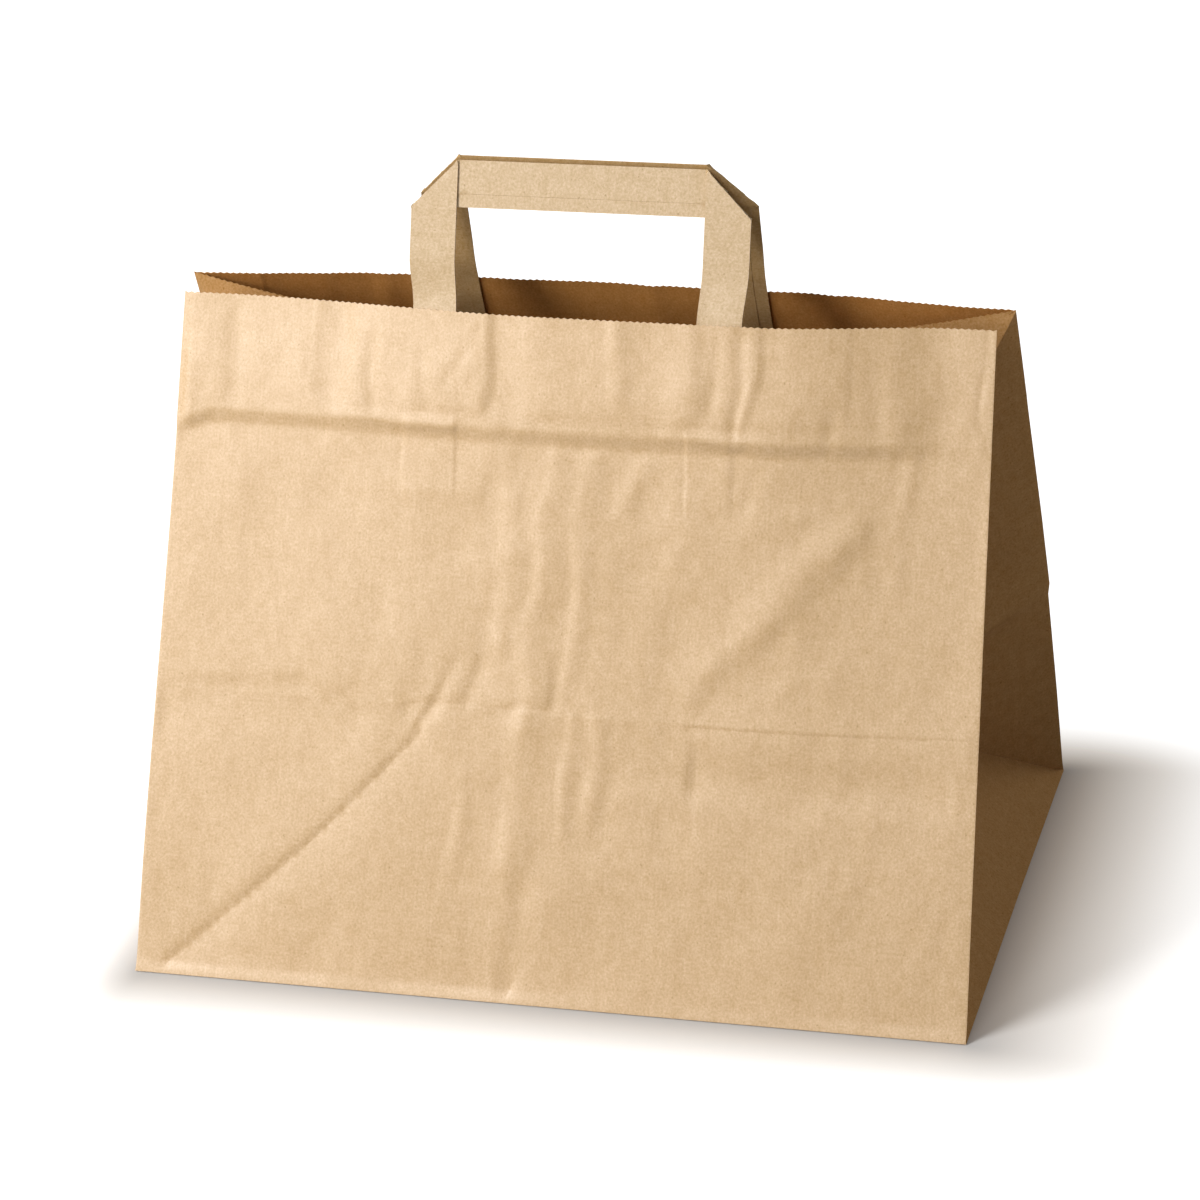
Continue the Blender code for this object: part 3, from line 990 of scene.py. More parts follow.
OUTER_PAPER = KraftFinish("kraft paper", (0.67, 0.435, 0.205))
# Painted shade: the unglazed inner face is darker and browner than the paper, standing for the dim inside
# of the bag.
SHADED_INNER_PAPER = KraftFinish("kraft paper inside, painted shade", (0.51, 0.23, 0.06), 0.85, 0.1, 0.0)
# Painted shade: the back handle's paper is a darker, matte copy of the front's, as the back handle stands
# in shade.
STRAP_PAPERS_WITH_SHADED_BACK = {
    Side.FRONT: KraftFinish("handle paper", (0.60, 0.405, 0.19), contrast=1.2),
    Side.BACK: KraftFinish("back handle paper, painted shade", (0.52, 0.33, 0.14), 0.85, 0.2, 0.0),
}
# Painted shade: a darker copy of the outer paper for the gussets' outer face, which stands in shade.
SHADED_GUSSET_PAPER = KraftFinish("kraft paper sides, painted shade", (0.52, 0.285, 0.105), 0.85, 0.1, 0.0)
# Painted light: a lighter copy of the inner paper for the gussets' inner face, standing for lamp light
# that shines through the thin paper.
LIT_GUSSET_LINING = KraftFinish("kraft paper inner sides, painted light", (0.55, 0.33, 0.15), 0.85, 0.1, 0.0)


def dress(piece: bpy.types.Object, node: str) -> None:
    """Finishes a piece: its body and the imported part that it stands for.

    Args:
        piece: The finished piece.
        node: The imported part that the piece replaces.
    """
    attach(piece, "root")
    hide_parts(node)
    log.info("%s: %d faces", piece.name, len(piece.data.polygons))


@dataclass(frozen=True)
class Stretch:
    """A panel or half a gusset on the flat tube: its start, its columns and how it folds up."""

    start: float
    columns: list[float]
    place: Folding

    @property
    def width(self) -> float:
        """The stretch's width."""
        return self.columns[-1] - self.columns[0]

    @property
    def end(self) -> float:
        """Where the stretch ends on the flat tube."""
        return self.start + self.columns[-1] - self.columns[0]


# The places of the stretches in their order, from the front's left edge
BACK_PANEL = 3
GUSSET_STARTS = (1, 4)


@dataclass
class BagBody:
    """The bag itself: one sheet folded into a tube with two gussets, and closed at the bottom."""

    sizes: BagSizes
    fold: PaperFold
    papers: Sequence[bpy.types.Material]
    panel_teeth: int = 123
    gusset_teeth: int = 42
    gusset_columns: int = 21
    support: float = 0.0008
    plies: int = 3
    fold_angle: float = 35
    score_margin: float = 2
    score_share: float = 0.5
    score_reach: float = 4
    leg_score_step: float = 0.6
    leg_score_foot: float = 0.186
    leg_score_margin: float = 0.004
    stretches: list[Stretch] = field(default_factory=list)

    def __post_init__(self) -> None:
        """Lays out the flat tube: panels and half gussets in order, from the front's left edge."""
        size = self.sizes
        half_panel = size.width / 2 - size.fold_radius
        half = size.half_gusset
        fine = self._panel_columns(2 * self.panel_teeth)
        panel = self._panel_columns(self.panel_teeth)
        gusset = self._gusset_columns()
        mirrored = [half - value for value in reversed(gusset)]
        order = (
            (fine, lambda a, u: self.fold.panel_point(Side.FRONT, a - half_panel, u)),
            (gusset, self._half(Flank.RIGHT, Side.FRONT, True)),
            (mirrored, self._half(Flank.RIGHT, Side.BACK, False)),
            (panel, lambda a, u: self.fold.panel_point(Side.BACK, half_panel - a, u)),
            (gusset, self._half(Flank.LEFT, Side.BACK, True)),
            (mirrored, self._half(Flank.LEFT, Side.FRONT, False)),
        )
        start = 0.0
        for columns, place in order:
            self.stretches.append(Stretch(start, columns, place))
            strip = size.crease_width if columns is gusset else 2 * size.fold_radius
            start += self.stretches[-1].width + strip

    def _panel_columns(self, count: int) -> list[float]:
        """Columns across a panel, with one close to each fold.

        Args:
            count: How many steps the rest divide the panel into.

        Returns:
            The columns, from the panel's first fold.
        """
        width = self.sizes.width - 2 * self.sizes.fold_radius
        columns = spaced(0.0, width, count)
        return sorted([*columns, self.support, width - self.support])

    def _gusset_columns(self) -> list[float]:
        """Columns across half a gusset, with one close to each end.

        Returns:
            The columns, from the panel's fold to the centre crease.
        """
        radius, half = self.sizes.fold_radius, self.sizes.half_gusset
        columns = spaced(radius, half, self.gusset_columns)
        return sorted([*columns, radius + self.support, half - self.support])

    def _half(self, flank: Flank, side: Side, from_fold: bool) -> Folding:
        """How half a gusset folds up, counted from its first column.

        Args:
            flank: The side of the bag that the gusset closes.
            side: Its front or back half.
            from_fold: Whether the first column lies at the panel's fold.

        Returns:
            A function of the places along and up the half.
        """
        radius, half = self.sizes.fold_radius, self.sizes.half_gusset
        if from_fold:
            return lambda a, u: self.fold.gusset_point(flank, side, a + radius, u)
        return lambda a, u: self.fold.gusset_point(flank, side, half - a, u)

    def rows(self) -> list[float]:
        """Rows up the sheet, closer where it is creased.

        Returns:
            The rows, from the one that turns under the bottom fold.
        """
        size = self.sizes
        levels = [-size.crease_width]
        # Where each band of rows begins, and how many rows it has
        stops = (
            (0.0, 5),
            (size.lip_height, 28),
            (0.103, 3),
            (0.1088, 4),
            (0.1112, 4),
            (0.118, 26),
            (0.2070, 9),
            (0.218, 5),
            (0.227, 8),
            (0.253, 3),
        )
        ends = [level for level, _count in stops[1:]] + [size.height]
        for (start, count), end in zip(stops, ends):
            levels += spaced(start, end, count)[:-1]
        return [*levels, size.height]

    def flat_columns(self) -> list[float]:
        """All the sheet's columns, with the middle of each round fold and the seam's edge.

        Returns:
            The columns, in order.
        """
        size = self.sizes
        columns = []
        for index, stretch in enumerate(self.stretches):
            columns += [stretch.start + value - stretch.columns[0] for value in stretch.columns]
            if index not in GUSSET_STARTS:
                columns.append(stretch.end + size.fold_radius)
        seam = self.seam_start()
        columns += [seam, seam + size.ply_step, self.tube_length()]
        return sorted(columns)

    def seam_start(self) -> float:
        """Where the glued seam's ply begins, near the end of the back panel."""
        return self.stretches[BACK_PANEL].end - self.sizes.seam_width

    def tube_length(self) -> float:
        """Where the flat tube comes round to its first column."""
        return self.stretches[-1].end + 2 * self.sizes.fold_radius

    def fold_sheet(self, along: np.ndarray, up: np.ndarray) -> np.ndarray:
        """Folds places of the flat tube into space.

        Args:
            along: Places along the flat tube.
            up: Places up it.

        Returns:
            The folded places, one in each row.
        """
        level = np.maximum(up, 0.0)
        points = np.zeros((len(along), 3))
        total = self.tube_length()
        followers = [*self.stretches[1:], self.stretches[0]]
        for index, (stretch, following) in enumerate(zip(self.stretches, followers)):
            inside = along >= stretch.start - TUBE_SLACK
            inside &= along <= stretch.end + TUBE_SLACK
            points[inside] = stretch.place(along[inside] - stretch.start, level[inside])
            next_start = following.start if following.start > stretch.start else total
            strip = (along > stretch.end + TUBE_SLACK) & (along < next_start - TUBE_SLACK)
            if strip.any():
                heights = level[strip]
                here = stretch.place(np.full(len(heights), stretch.width), heights)
                there = following.place(np.zeros(len(heights)), heights)
                points[strip] = (here + 2 * self._corner(index, heights) + there) / 4
        closing = along >= total - TUBE_SLACK
        first = self.stretches[0]
        points[closing] = first.place(np.zeros(int(closing.sum())), level[closing])
        return self._turn_under(points, up)

    def _corner(self, index: int, heights: np.ndarray) -> np.ndarray:
        """The sharp corner that the fold after a stretch would have.

        Args:
            index: The stretch's place in the order.
            heights: Levels up the fold.

        Returns:
            The corner at each level, one in each row.
        """
        edge = np.full(len(heights), self.sizes.width / 2)
        corners = {
            0: (Side.FRONT, edge),
            2: (Side.BACK, edge),
            3: (Side.BACK, -edge),
            5: (Side.FRONT, -edge),
        }
        side, across = corners[index]
        return self.fold.panel_point(side, across, heights)

    def _turn_under(self, points: np.ndarray, up: np.ndarray) -> np.ndarray:
        """Rounds the bottom fold: the lowest row lies flat, inside the rest.

        Args:
            points: The folded places, which are changed.
            up: Their places up the flat tube.

        Returns:
            The same places.
        """
        size = self.sizes
        under = up < 0
        points[under, 0] *= 1 - size.crease_width / (size.width / 2)
        points[under, 1] *= 1 - size.crease_width / (size.depth / 2)
        points[under, 2] = 0.0
        lifted = size.fold_radius * (1 - smooth(up / size.lip_height))
        points[:, 2] += np.where(under, 0.0, lifted)
        return points

    def cut(self) -> bpy.types.Object:
        """Cuts and scores the flat sheet.

        Returns:
            The flat sheet.
        """
        size = self.sizes
        sheet = flat_sheet("bag_body", self.flat_columns(), self.rows())
        half = size.half_gusset
        rise = size.height - half
        for first in GUSSET_STARTS:
            fold_at = self.stretches[first].start - size.fold_radius
            crease_at = fold_at + half
            mirror_crease = self.stretches[first + 1].start
            far_fold = mirror_crease + half
            near = ((fold_at, 0.0), (crease_at, size.height))
            far = ((mirror_crease, 0.0), (far_fold, size.height))
            score(sheet, (fold_at, 0), (1, 1), *near)
            score(sheet, (far_fold, 0), (-1, 1), *far)
            score(sheet, (crease_at, half), (-half, rise), *near)
            score(sheet, (mirror_crease, half), (half, rise), *far)
        self._score_front(sheet)
        self._cut_teeth(sheet)
        return sheet

    def _score_front(self, sheet: bpy.types.Object) -> None:
        """Scores the front panel along its pressed creases and the edges of the handle's legs.

        Args:
            sheet: The flat sheet.
        """
        half_panel = self.sizes.width / 2 - self.sizes.fold_radius
        pressed = [crease for crease in self.fold.front_relief if crease.form is PRESSED]
        for crease in pressed:
            for start, end in zip(crease.path, crease.path[1:]):
                direction = np.subtract(end, start) / math.dist(start, end)
                normal = np.array([-direction[1], direction[0]])
                low = np.minimum(start, end) - self.score_margin
                high = np.maximum(start, end) + self.score_margin
                left = self.score_share * crease.left
                right = self.score_share * min(crease.right, self.score_reach)
                for shift in (left, 0.0, -right):
                    point, lowest, highest = (
                        (place[0] * MM + half_panel, place[1] * MM)
                        for place in (np.add(start, normal * shift), low, high)
                    )
                    score(sheet, point, tuple(direction), lowest, highest)
        for across in LEG_SCORES:
            for shift in (-self.leg_score_step, self.leg_score_step):
                at = (across + shift) * MM + half_panel
                lowest = (at - self.leg_score_margin, self.leg_score_foot)
                highest = (at + self.leg_score_margin, self.sizes.height)
                score(sheet, (at, 0), (0, 1), lowest, highest)

    def _cut_teeth(self, sheet: bpy.types.Object) -> None:
        """Serrates the top edge of the flat sheet, after halving its edges down to half a tooth.

        Args:
            sheet: The flat sheet.
        """
        size = self.sizes
        top = size.height - FINE_SNAP
        for shortest in (1.4, 0.7):
            with edit_mode(sheet):
                select_edges(
                    sheet,
                    lambda edge: min(vert.co.y for vert in edge.verts) > top
                    and edge.calc_length() > shortest * size.tooth_pitch,
                )
                bpy.ops.mesh.subdivide(number_cuts=1)
        places = vertex_places(sheet)
        for stretch in self.stretches:
            is_panel = stretch.width > size.half_gusset
            teeth = self.panel_teeth if is_panel else self.gusset_teeth
            along = (places[:, 0] - stretch.start) / stretch.width
            edge = (places[:, 1] > top) & (along > 0) & (along < 1)
            share = (along[edge] * teeth) % 1
            places[edge, 1] -= size.tooth_depth * (1 - np.abs(1 - 2 * share))
        place_vertices(sheet, places)

    def build(self) -> bpy.types.Object:
        """Folds, closes and thickens the bag.

        Returns:
            The finished piece.
        """
        sheet = self.cut()
        keep_flat_uv(sheet)
        self._paint_gusset_shade_and_light(sheet)
        places = vertex_places(sheet)
        along, up = places[:, 0].copy(), places[:, 1].copy()
        glued = along > self.seam_start() + self.sizes.ply_step / 2
        glued &= along <= self.stretches[BACK_PANEL + 1].start - self.sizes.fold_radius
        place_vertices(sheet, self.fold_sheet(along, up))
        group = sheet.vertex_groups.new(name="plies")
        group.add(np.flatnonzero(~glued).tolist(), 1 / self.plies, "REPLACE")
        group.add(np.flatnonzero(glued).tolist(), 2 / self.plies, "REPLACE")
        self._close_bottom(sheet)
        thicken(sheet, self.papers, self.plies * self.sizes.paper, -1.0, group.name)
        shade(sheet, self.fold_angle)
        return sheet

    def _paint_gusset_shade_and_light(self, sheet: bpy.types.Object) -> None:
        """Gives the gussets their own pair, the second: painted shade outside, painted light inside.

        Args:
            sheet: The flat sheet.
        """
        middles = np.array([polygon.center.x for polygon in sheet.data.polygons])
        chosen = np.zeros(len(middles), dtype=int)
        for first in GUSSET_STARTS:
            start, end = self.stretches[first].start, self.stretches[first + 1].end
            chosen[(middles > start) & (middles < end)] = 2
        sheet.data.polygons.foreach_set("material_index", chosen.tolist())

    def _close_bottom(self, sheet: bpy.types.Object) -> None:
        """Closes the bottom with its glued flaps, each one sheet over the next.

        Args:
            sheet: The folded sheet.
        """
        size = self.sizes
        flat = size.paper / 100
        with edit_mode(sheet):
            bpy.ops.mesh.select_all(action="SELECT")
            bpy.ops.mesh.remove_doubles(threshold=size.paper / 10)
            bpy.ops.mesh.select_all(action="DESELECT")
            select_edges(
                sheet,
                lambda edge: edge.is_boundary and max(vert.co.z for vert in edge.verts) < flat,
            )
            bpy.ops.mesh.edge_face_add()
        mitre = (size.width / 2 - size.depth / 2) / math.sqrt(2)
        for step in (0.0, size.ply_step):
            for across in (-1, 1):
                self._score_bottom(sheet, size.flap_overlap - step, (0, across, 0))
                for along in (-1, 1):
                    self._score_bottom(sheet, mitre - step, (across, along, 0))
        for across in (-1, 1):
            self._score_bottom(sheet, size.width / 2 - size.rim_width, (across, 0, 0))
            self._score_bottom(sheet, size.depth / 2 - size.rim_width, (0, across, 0))
        self._lay_flaps(sheet)
        with edit_mode(sheet):
            bpy.ops.mesh.select_all(action="SELECT")
            bpy.ops.mesh.normals_make_consistent(inside=False)

    def _score_bottom(
        self, sheet: bpy.types.Object, distance: float, normal: tuple[float, float, float]
    ) -> None:
        """Cuts the bottom's faces along a line.

        Args:
            sheet: The folded sheet.
            distance: The line's distance from the middle.
            normal: The direction from the middle to the line.
        """
        direction = Vector(normal).normalized()
        with edit_mode(sheet):
            bpy.ops.mesh.select_mode(type="FACE")
            mesh = bmesh.from_edit_mesh(sheet.data)
            for face in mesh.faces:
                face.select_set(max(vert.co.z for vert in face.verts) < self.sizes.paper / 100)
            bmesh.update_edit_mesh(sheet.data)
            bpy.ops.mesh.bisect(
                plane_co=direction * distance, plane_no=direction, threshold=FINE_SNAP
            )

    def _lay_flaps(self, sheet: bpy.types.Object) -> None:
        """Lifts the front flap and the end triangles one and two sheets over the back flap.

        Args:
            sheet: The folded and closed sheet.
        """
        size = self.sizes
        slack = size.ply_step / 10
        group = sheet.vertex_groups["plies"]
        places = vertex_places(sheet)
        across, along = np.abs(places[:, 0]), places[:, 1]
        rim_gap = np.minimum(size.width / 2 - across, size.depth / 2 - np.abs(along))
        bottom = (places[:, 2] < size.paper / 100) & (rim_gap > size.rim_width - slack)
        sheets_up = np.full(len(places), 2)
        for side, sheets in ((Side.FRONT, 1), (Side.BACK, 0)):
            from_panel = size.depth / 2 - side.value * along
            to_mitre = (size.width / 2 - across - from_panel) / math.sqrt(2)
            depth = np.minimum(size.flap_overlap + side.value * along, to_mitre)
            sheets_up[depth > size.ply_step - slack] = sheets
        places[bottom, 2] = sheets_up[bottom] * size.paper
        place_vertices(sheet, places)
        for sheets in (0, 1, 2):
            chosen = np.flatnonzero(bottom & (sheets_up == sheets)).tolist()
            group.add(chosen, (self.plies - sheets) / self.plies, "REPLACE")
        rest = np.flatnonzero((places[:, 2] < size.paper / 100) & ~bottom).tolist()
        group.add(rest, 1 / self.plies, "REPLACE")


@dataclass
class StrapHandle:
    """A flat paper strap, folded over at two corners and glued inside a panel."""

    sizes: BagSizes
    fold: PaperFold
    side: Side
    papers: tuple[bpy.types.Material, bpy.types.Material]
    width: float = 0.0175
    thickness: float = 0.0005
    ply_gap: float = 0.0002
    span: float = 0.129
    rise: float = 0.056
    leg_glued: float = 0.070
    settle_length: float = 0.020
    meet_y: float = 0.0015
    glue_gap: float = 0.0003
    seam_share: float = 0.28
    seam_edge: float = 0.00012
    fold_angle: float = 30
    bar_columns: int = 14
    leg_columns: int = 46
    lower_rows: int = 3
    upper_rows: int = 8

    @property
    def leg_depth(self) -> float:
        """How deep inside the panel the leg's middle lies."""
        return self.sizes.paper + self.glue_gap + self.thickness / 2

    @property
    def bar_depth(self) -> float:
        """How deep inside the panel's plane the crossbar's middle lies."""
        return self.leg_depth + self.thickness + self.ply_gap

    @property
    def bar_foot(self) -> float:
        """The level of the crossbar's lower edge, up the panel's plane."""
        return self.sizes.height + self.rise - self.width

    def point(self, across: np.ndarray, up: np.ndarray, inward: np.ndarray) -> np.ndarray:
        """Places of the strap: on its panel, and above it on the handle's own plane.

        Args:
            across: Places across the panel, in metres.
            up: Places up the panel and past its edge, in metres.
            inward: How deep inside the panel's plane they are, in metres.

        Returns:
            The places, one in each row.
        """
        on_panel = self.fold.panel_point(self.side, across, up, inward)
        middle = self.span / 2 - self.width / 2
        plain = PaperFold(self.sizes, (), ())
        feet = plain.panel_point(
            self.side, np.array([-middle, middle]), np.full(2, self.sizes.height)
        )
        foot = feet.mean(axis=0)
        sign = self.side.value
        from_middle = sign * (foot[1] - self.sizes.back_lean * foot[2])
        face = self.bar_depth + self.thickness / 2
        to_meet = from_middle - sign * self.meet_y - self.glue_gap / 2
        lean = math.asin(to_meet / math.hypot(self.rise, face)) - math.atan2(face, self.rise)
        above = up - self.sizes.height
        out = from_middle - above * math.sin(lean) - inward * math.cos(lean)
        level = foot[2] + above * math.cos(lean) - inward * math.sin(lean)
        free = self.fold.settle(np.column_stack([across, sign * out, level]))
        share = smooth(above / self.settle_length)[:, None]
        return on_panel * (1 - share) + free * share

    def fold_strap(self, along: np.ndarray, up: np.ndarray) -> tuple[np.ndarray, ...]:
        """Folds the flat strap: past each diagonal fold it turns down, next to the panel.

        Args:
            along: Places along the strap from its middle, in metres.
            up: Places up the strap's width, as levels on the panel's plane.

        Returns:
            The folded places: across, up and inward.
        """
        ply = self.bar_depth - self.leg_depth
        turn = np.sign(along)
        from_end = self.span / 2 - np.abs(along)
        past_fold = ((up - self.bar_foot) - from_end) / math.sqrt(2)
        leg = past_fold >= ply / 2
        end_shift = from_end + ply / math.sqrt(2)
        up_shift = up - ply / math.sqrt(2)
        leg_across = turn * (self.span / 2 - (up_shift - self.bar_foot))
        across = np.where(leg, leg_across, along)
        level = np.where(leg, self.bar_foot + end_shift, up)
        inward = np.where(leg, self.leg_depth, self.bar_depth)
        return across, level, inward

    def build(self) -> bpy.types.Object:
        """Folds the strap.

        Returns:
            The finished handle.
        """
        ply = self.bar_depth - self.leg_depth
        inner = self.span / 2 - self.width
        end = self.span / 2 + ply / math.sqrt(2) + self.bar_foot
        end -= self.sizes.height - self.leg_glued
        positive = spaced(0.0, inner, self.bar_columns) + spaced(inner, end, self.leg_columns)[1:]
        columns = [-value for value in reversed(positive[1:])] + positive
        seam = self.bar_foot + self.seam_share * self.width
        rows = spaced(self.bar_foot, seam, self.lower_rows)
        rows += spaced(seam + self.seam_edge, self.bar_foot + self.width, self.upper_rows)
        name = f"{self.side.name.lower()}_handle"
        strap = flat_sheet(name, columns, rows)
        for turn in (-1, 1):
            for shift in (0.0, ply):
                start = (turn * (self.span / 2 + shift * math.sqrt(2)), self.bar_foot)
                low = (min(0.0, turn * end), -1.0)
                high = (max(0.0, turn * end), 1.0)
                score(strap, start, (-turn, 1), low, high)
        keep_flat_uv(strap)
        places = vertex_places(strap)
        covered = places[:, 1] > seam + self.seam_edge / 2
        if self.side is Side.FRONT:
            covered |= np.abs(places[:, 0]) > inner
        folded = self.point(*self.fold_strap(places[:, 0], places[:, 1]))
        place_vertices(strap, folded)
        group = strap.vertex_groups.new(name="plies")
        group.add(np.flatnonzero(covered).tolist(), 1.0, "REPLACE")
        group.add(np.flatnonzero(~covered).tolist(), 0.5, "REPLACE")
        thicken(strap, self.papers, self.thickness, 0.0, group.name)
        shade(strap, self.fold_angle)
        return strap


@dataclass
class HandlePatch:
    """The paper strip glued over a handle's legs inside a panel."""

    sizes: BagSizes
    fold: PaperFold
    side: Side
    handle: StrapHandle
    papers: tuple[bpy.types.Material, bpy.types.Material]
    width: float = 0.210
    height: float = 0.036
    below_front_edge: float = 0.002
    below_back_edge: float = 0.020
    drape: float = 0.004
    plies_below: float = 1.5
    fold_angle: float = 35
    columns: int = 100
    rows: int = 16

    def build(self) -> bpy.types.Object:
        """Drapes the strip over the legs.

        Returns:
            The finished patch.
        """
        gap = self.handle.glue_gap
        inner = self.handle.span / 2 - self.handle.width - gap
        outer = self.handle.span / 2 + gap
        columns = spaced(-self.width / 2, self.width / 2, self.columns)
        is_front = self.side is Side.FRONT
        top = self.sizes.height - (self.below_front_edge if is_front else self.below_back_edge)
        rows = spaced(top - self.height, top, self.rows)
        patch = flat_sheet(f"{self.side.name.lower()}_handle_patch", columns, rows)
        keep_flat_uv(patch)
        places = vertex_places(patch)
        across, up = places[:, 0], places[:, 1]
        rise = smooth((np.abs(across) - inner + self.drape) / self.drape)
        fall = smooth((outer + self.drape - np.abs(across)) / self.drape)
        below = self.sizes.paper * self.plies_below + gap
        inward = below + (self.handle.thickness + gap) * rise * fall
        place_vertices(patch, self.fold.panel_point(self.side, across, up, inward))
        thicken(patch, self.papers, self.sizes.paper, 0.0)
        shade(patch, self.fold_angle)
        return patch


# The middle of the bag, which every lamp is turned to
LAMP_AIM = (0, 0, 0.12)


@dataclass(frozen=True)
class Lamp:
    """A soft square lamp that is turned to the bag."""

    name: str
    place: tuple[float, float, float]
    size: float
    power: float

    def build(self) -> None:
        """Hangs the lamp."""
        lamp = bpy.data.lights.new(self.name, "AREA")
        lamp.size = self.size
        lamp.energy = self.power
        holder = bpy.data.objects.new(self.name, lamp)
        bpy.context.scene.collection.objects.link(holder)
        holder.location = self.place
        aim = Vector(LAMP_AIM) - Vector(self.place)
        holder.rotation_euler = aim.to_track_quat("-Z", "Y").to_euler()


LAMPS = (
    Lamp("key light", (-0.95, -0.72, 1.35), 0.6, 22.0),
    Lamp("left light", (-1.60, -1.90, 0.80), 0.6, 17.0),
    Lamp("front light", (-0.30, -2.40, 1.60), 0.9, 10.0),
    Lamp("rim light", (1.10, 1.00, 1.60), 0.8, 5.0),
    Lamp("right light", (1.30, -0.35, 1.20), 0.8, 1.6),
)


@dataclass(frozen=True)
class Studio:
    """The pale floor, the soft lights and the camera.

    The floor is lifted to white with the distance from the bag's foot, a rectangle given by its
    half sizes, and lifted less near the foot, which paints the bag's shadow there. The distance
    counts for more on the left and in depth, which shapes the painted shadow, and the painted
    shadow's warmth is a power for each of red, green and blue.
    """

    azimuth: float = 15.94
    elevation: float = 25.18
    roll: float = -3.20
    distance: float = 1.699
    target: tuple[float, float, float] = (-0.001, 0.0, 0.1175)
    lens: float = 132.36
    sensor: float = 36.0
    nearest: float = 0.01
    ambient: float = 0.11
    floor_size: float = 30.0
    floor_grey: float = 0.5
    foot: tuple[float, float] = (0.16, 0.11)
    painted_shadow_left_scale: float = 3.0
    painted_shadow_depth_scale: float = 2.0
    painted_shadow_warmth: tuple[float, float, float] = (0.9, 1.0, 1.12)
    # Painted shadow: the lift stays low near the bag's foot, so the floor there shows darker than its
    # light makes it.
    white_lift_and_painted_shadow: tuple[tuple[float, float], ...] = (
        (0.0, 0.04),
        (0.010, 0.14),
        (0.020, 0.26),
        (0.040, 0.48),
        (0.060, 0.72),
        (0.080, 0.90),
        (0.110, 1.0),
    )

    def build(self) -> None:
        """Sets up the world, the floor, the lamps and the camera."""
        self._world()
        self._floor()
        for lamp in LAMPS:
            lamp.build()
        self._camera()
        bpy.context.scene.view_settings.view_transform = "Standard"

    def _world(self) -> None:
        """A world that lights softly and looks white."""
        world = bpy.data.worlds.new("studio")
        bpy.context.scene.world = world
        world.use_nodes = True
        tree = world.node_tree
        tree.nodes.clear()
        soft = tree.nodes.new("ShaderNodeBackground")
        soft.inputs["Strength"].default_value = self.ambient
        white = tree.nodes.new("ShaderNodeBackground")
        for background in (soft, white):
            background.inputs["Color"].default_value = (1, 1, 1, 1)
        mix = tree.nodes.new("ShaderNodeMixShader")
        output = tree.nodes.new("ShaderNodeOutputWorld")
        path = tree.nodes.new("ShaderNodeLightPath")
        tree.links.new(path.outputs["Is Camera Ray"], mix.inputs["Fac"])
        tree.links.new(soft.outputs["Background"], mix.inputs[1])
        tree.links.new(white.outputs["Background"], mix.inputs[2])
        tree.links.new(mix.outputs["Shader"], output.inputs["Surface"])

    def _floor(self) -> None:
        """A white floor that keeps the bag's cast shadow, with a painted shadow near its foot."""
        bpy.ops.mesh.primitive_plane_add(size=self.floor_size)
        floor = bpy.context.object
        floor.name = "studio_floor"
        material = bpy.data.materials.new("floor paper, painted shadow")
        material.use_nodes = True
        tree = material.node_tree
        tree.nodes.clear()
        diffuse = tree.nodes.new("ShaderNodeBsdfDiffuse")
        diffuse.inputs["Color"].default_value = (self.floor_grey,) * 3 + (1,)
        # The camera-only lift, low near the foot, paints the bag's shadow there.
        lift = tree.nodes.new("ShaderNodeEmission")
        path = tree.nodes.new("ShaderNodeLightPath")
        add = tree.nodes.new("ShaderNodeAddShader")
        output = tree.nodes.new("ShaderNodeOutputMaterial")
        tree.links.new(self._shadow_painting_lift(tree), lift.inputs["Color"])
        tree.links.new(path.outputs["Is Camera Ray"], lift.inputs["Strength"])
        tree.links.new(diffuse.outputs["BSDF"], add.inputs[0])
        tree.links.new(lift.outputs["Emission"], add.inputs[1])
        tree.links.new(add.outputs["Shader"], output.inputs["Surface"])
        floor.data.materials.append(material)

    def _shadow_painting_lift(self, tree: bpy.types.NodeTree) -> bpy.types.NodeSocket:
        """How much the floor is lifted to white, by its distance from the bag's foot; the low lift near
        the foot paints the bag's shadow.

        Args:
            tree: The floor material's nodes.

        Returns:
            The lift's colour, darker and warmer near the foot as painted shadow.
        """

        def math_node(operation: str, *values: float | bpy.types.NodeSocket) -> bpy.types.NodeSocket:
            """Works out one operation on sockets and numbers.

            Args:
                operation: The operation's name.
                values: What it works on.

            Returns:
                The result.
            """
            node = tree.nodes.new("ShaderNodeMath")
            node.operation = operation
            for index, value in enumerate(values):
                if isinstance(value, float):
                    node.inputs[index].default_value = value
                else:
                    tree.links.new(value, node.inputs[index])
            return node.outputs["Value"]

        place = tree.nodes.new("ShaderNodeTexCoord")
        axes = tree.nodes.new("ShaderNodeSeparateXYZ")
        tree.links.new(place.outputs["Object"], axes.inputs["Vector"])
        half_width, half_depth = self.foot
        right = math_node("SUBTRACT", axes.outputs["X"], half_width)
        left = math_node("MULTIPLY_ADD", axes.outputs["X"], -self.painted_shadow_left_scale, 0.0)
        left = math_node("SUBTRACT", left, half_width * self.painted_shadow_left_scale)
        along = math_node("MAXIMUM", math_node("MAXIMUM", right, left), 0.0)
        depth = math_node("SUBTRACT", math_node("ABSOLUTE", axes.outputs["Y"]), half_depth)
        depth = math_node("MULTIPLY", math_node("MAXIMUM", depth, 0.0), self.painted_shadow_depth_scale)
        squares = [math_node("MULTIPLY", value, value) for value in (along, depth)]
        away = math_node("SQRT", math_node("ADD", *squares))
        reach = self.white_lift_and_painted_shadow[-1][0]
        ramp = tree.nodes.new("ShaderNodeValToRGB")
        elements = ramp.color_ramp.elements
        for index, (distance, level) in enumerate(self.white_lift_and_painted_shadow):
            element = elements[index] if index < 2 else elements.new(distance / reach)
            element.position = distance / reach
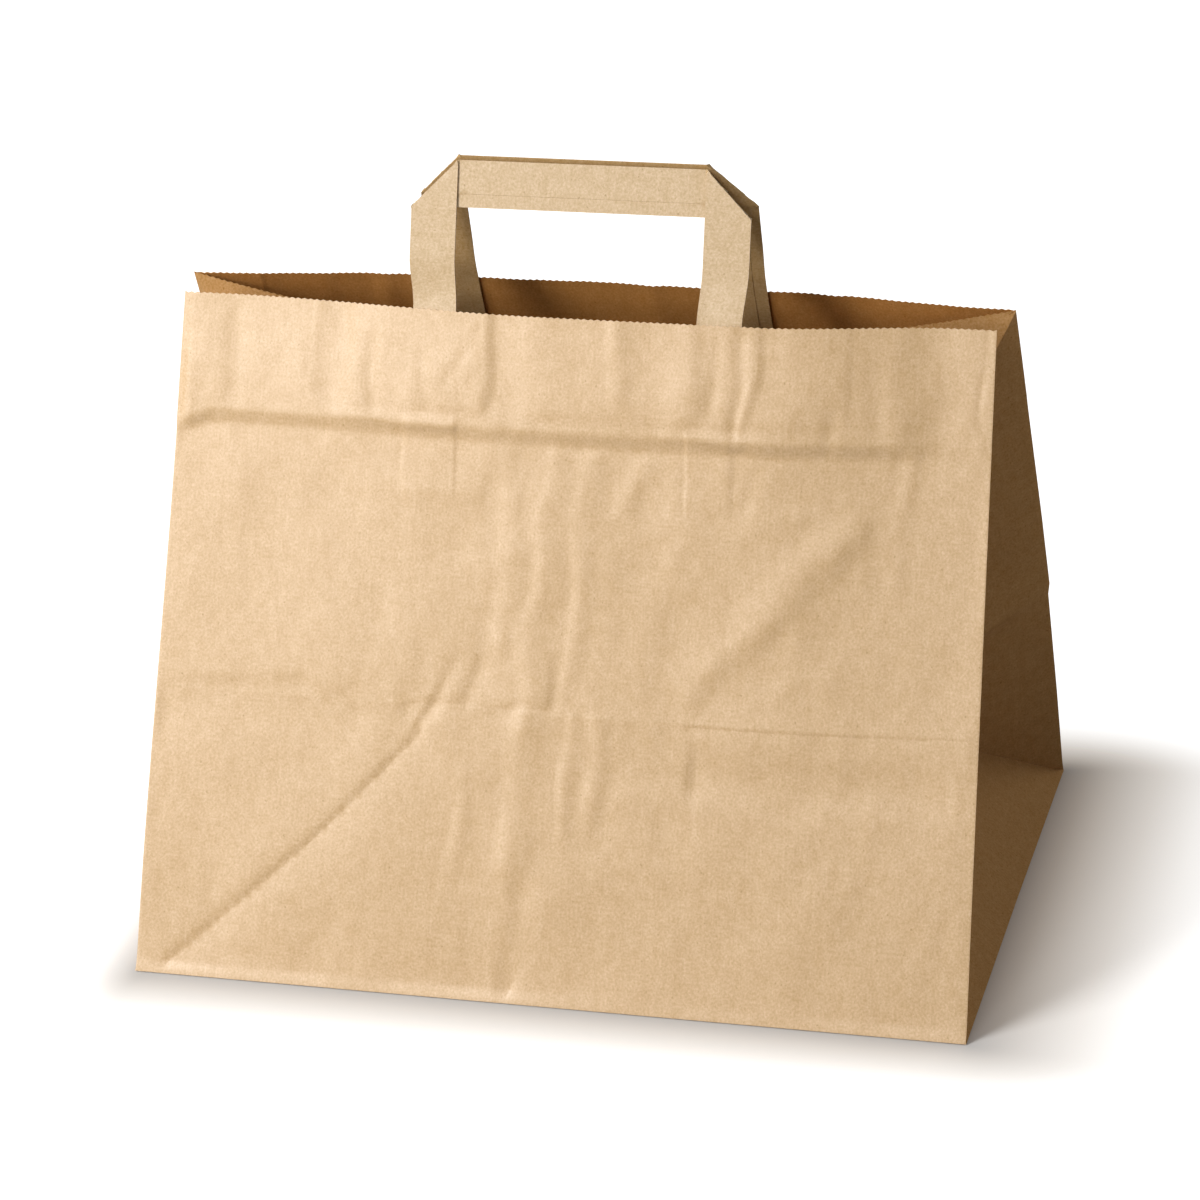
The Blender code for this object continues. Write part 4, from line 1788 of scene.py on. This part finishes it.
            # The painted shadow's warm tint: low lifts are redder and less blue.
            element.color = (*(level**power for power in self.painted_shadow_warmth), 1)
        tree.links.new(math_node("DIVIDE", away, reach), ramp.inputs["Fac"])
        return ramp.outputs["Color"]

    def _camera(self) -> None:
        """The camera at the photograph's angle."""
        turn, tilt, roll = map(math.radians, (self.azimuth, self.elevation, self.roll))
        back = Vector(
            (math.sin(turn) * math.cos(tilt), -math.cos(turn) * math.cos(tilt), math.sin(tilt))
        )
        level_right = Vector((math.cos(turn), math.sin(turn), 0))
        level_up = back.cross(level_right)
        right = level_right * math.cos(roll) + level_up * math.sin(roll)
        up = level_up * math.cos(roll) - level_right * math.sin(roll)
        data = bpy.data.cameras.new("camera")
        data.lens = self.lens
        data.sensor_width = self.sensor
        data.clip_start = self.nearest
        camera = bpy.data.objects.new("camera", data)
        bpy.context.scene.collection.objects.link(camera)
        place = Vector(self.target) + back * self.distance
        matrix = Matrix((right, up, back)).transposed().to_4x4()
        matrix.translation = place
        camera.matrix_world = matrix
        bpy.context.scene.camera = camera


def main() -> None:
    """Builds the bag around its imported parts."""
    logging.basicConfig(level=logging.INFO, format="%(message)s")
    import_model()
    sizes = BagSizes()
    fold = PaperFold(sizes)
    outer = OUTER_PAPER.material()
    # The inner face's colour paints the shade inside the bag.
    inner = SHADED_INNER_PAPER.material()
    strap_papers_with_shaded_back = {side: finish.material() for side, finish in STRAP_PAPERS_WITH_SHADED_BACK.items()}
    # The gussets' pair: painted shade on their outer face, painted light on their inner face.
    papers = (outer, inner, SHADED_GUSSET_PAPER.material(), LIT_GUSSET_LINING.material())
    dress(BagBody(sizes, fold, papers).build(), "bag_body")
    for side in Side:
        # On the back, the strap paper carries painted shade.
        strap_paper = strap_papers_with_shaded_back[side]
        handle = StrapHandle(sizes, fold, side, (strap_paper, strap_paper))
        word = side.name.lower()
        dress(handle.build(), f"{word}_handle")
        # The handle patches take the inner face's painted shade too.
        patch = HandlePatch(sizes, fold, side, handle, (inner, inner))
        dress(patch.build(), f"{word}_handle_patch")
    Studio().build()


if __name__ == "__main__":
    main()
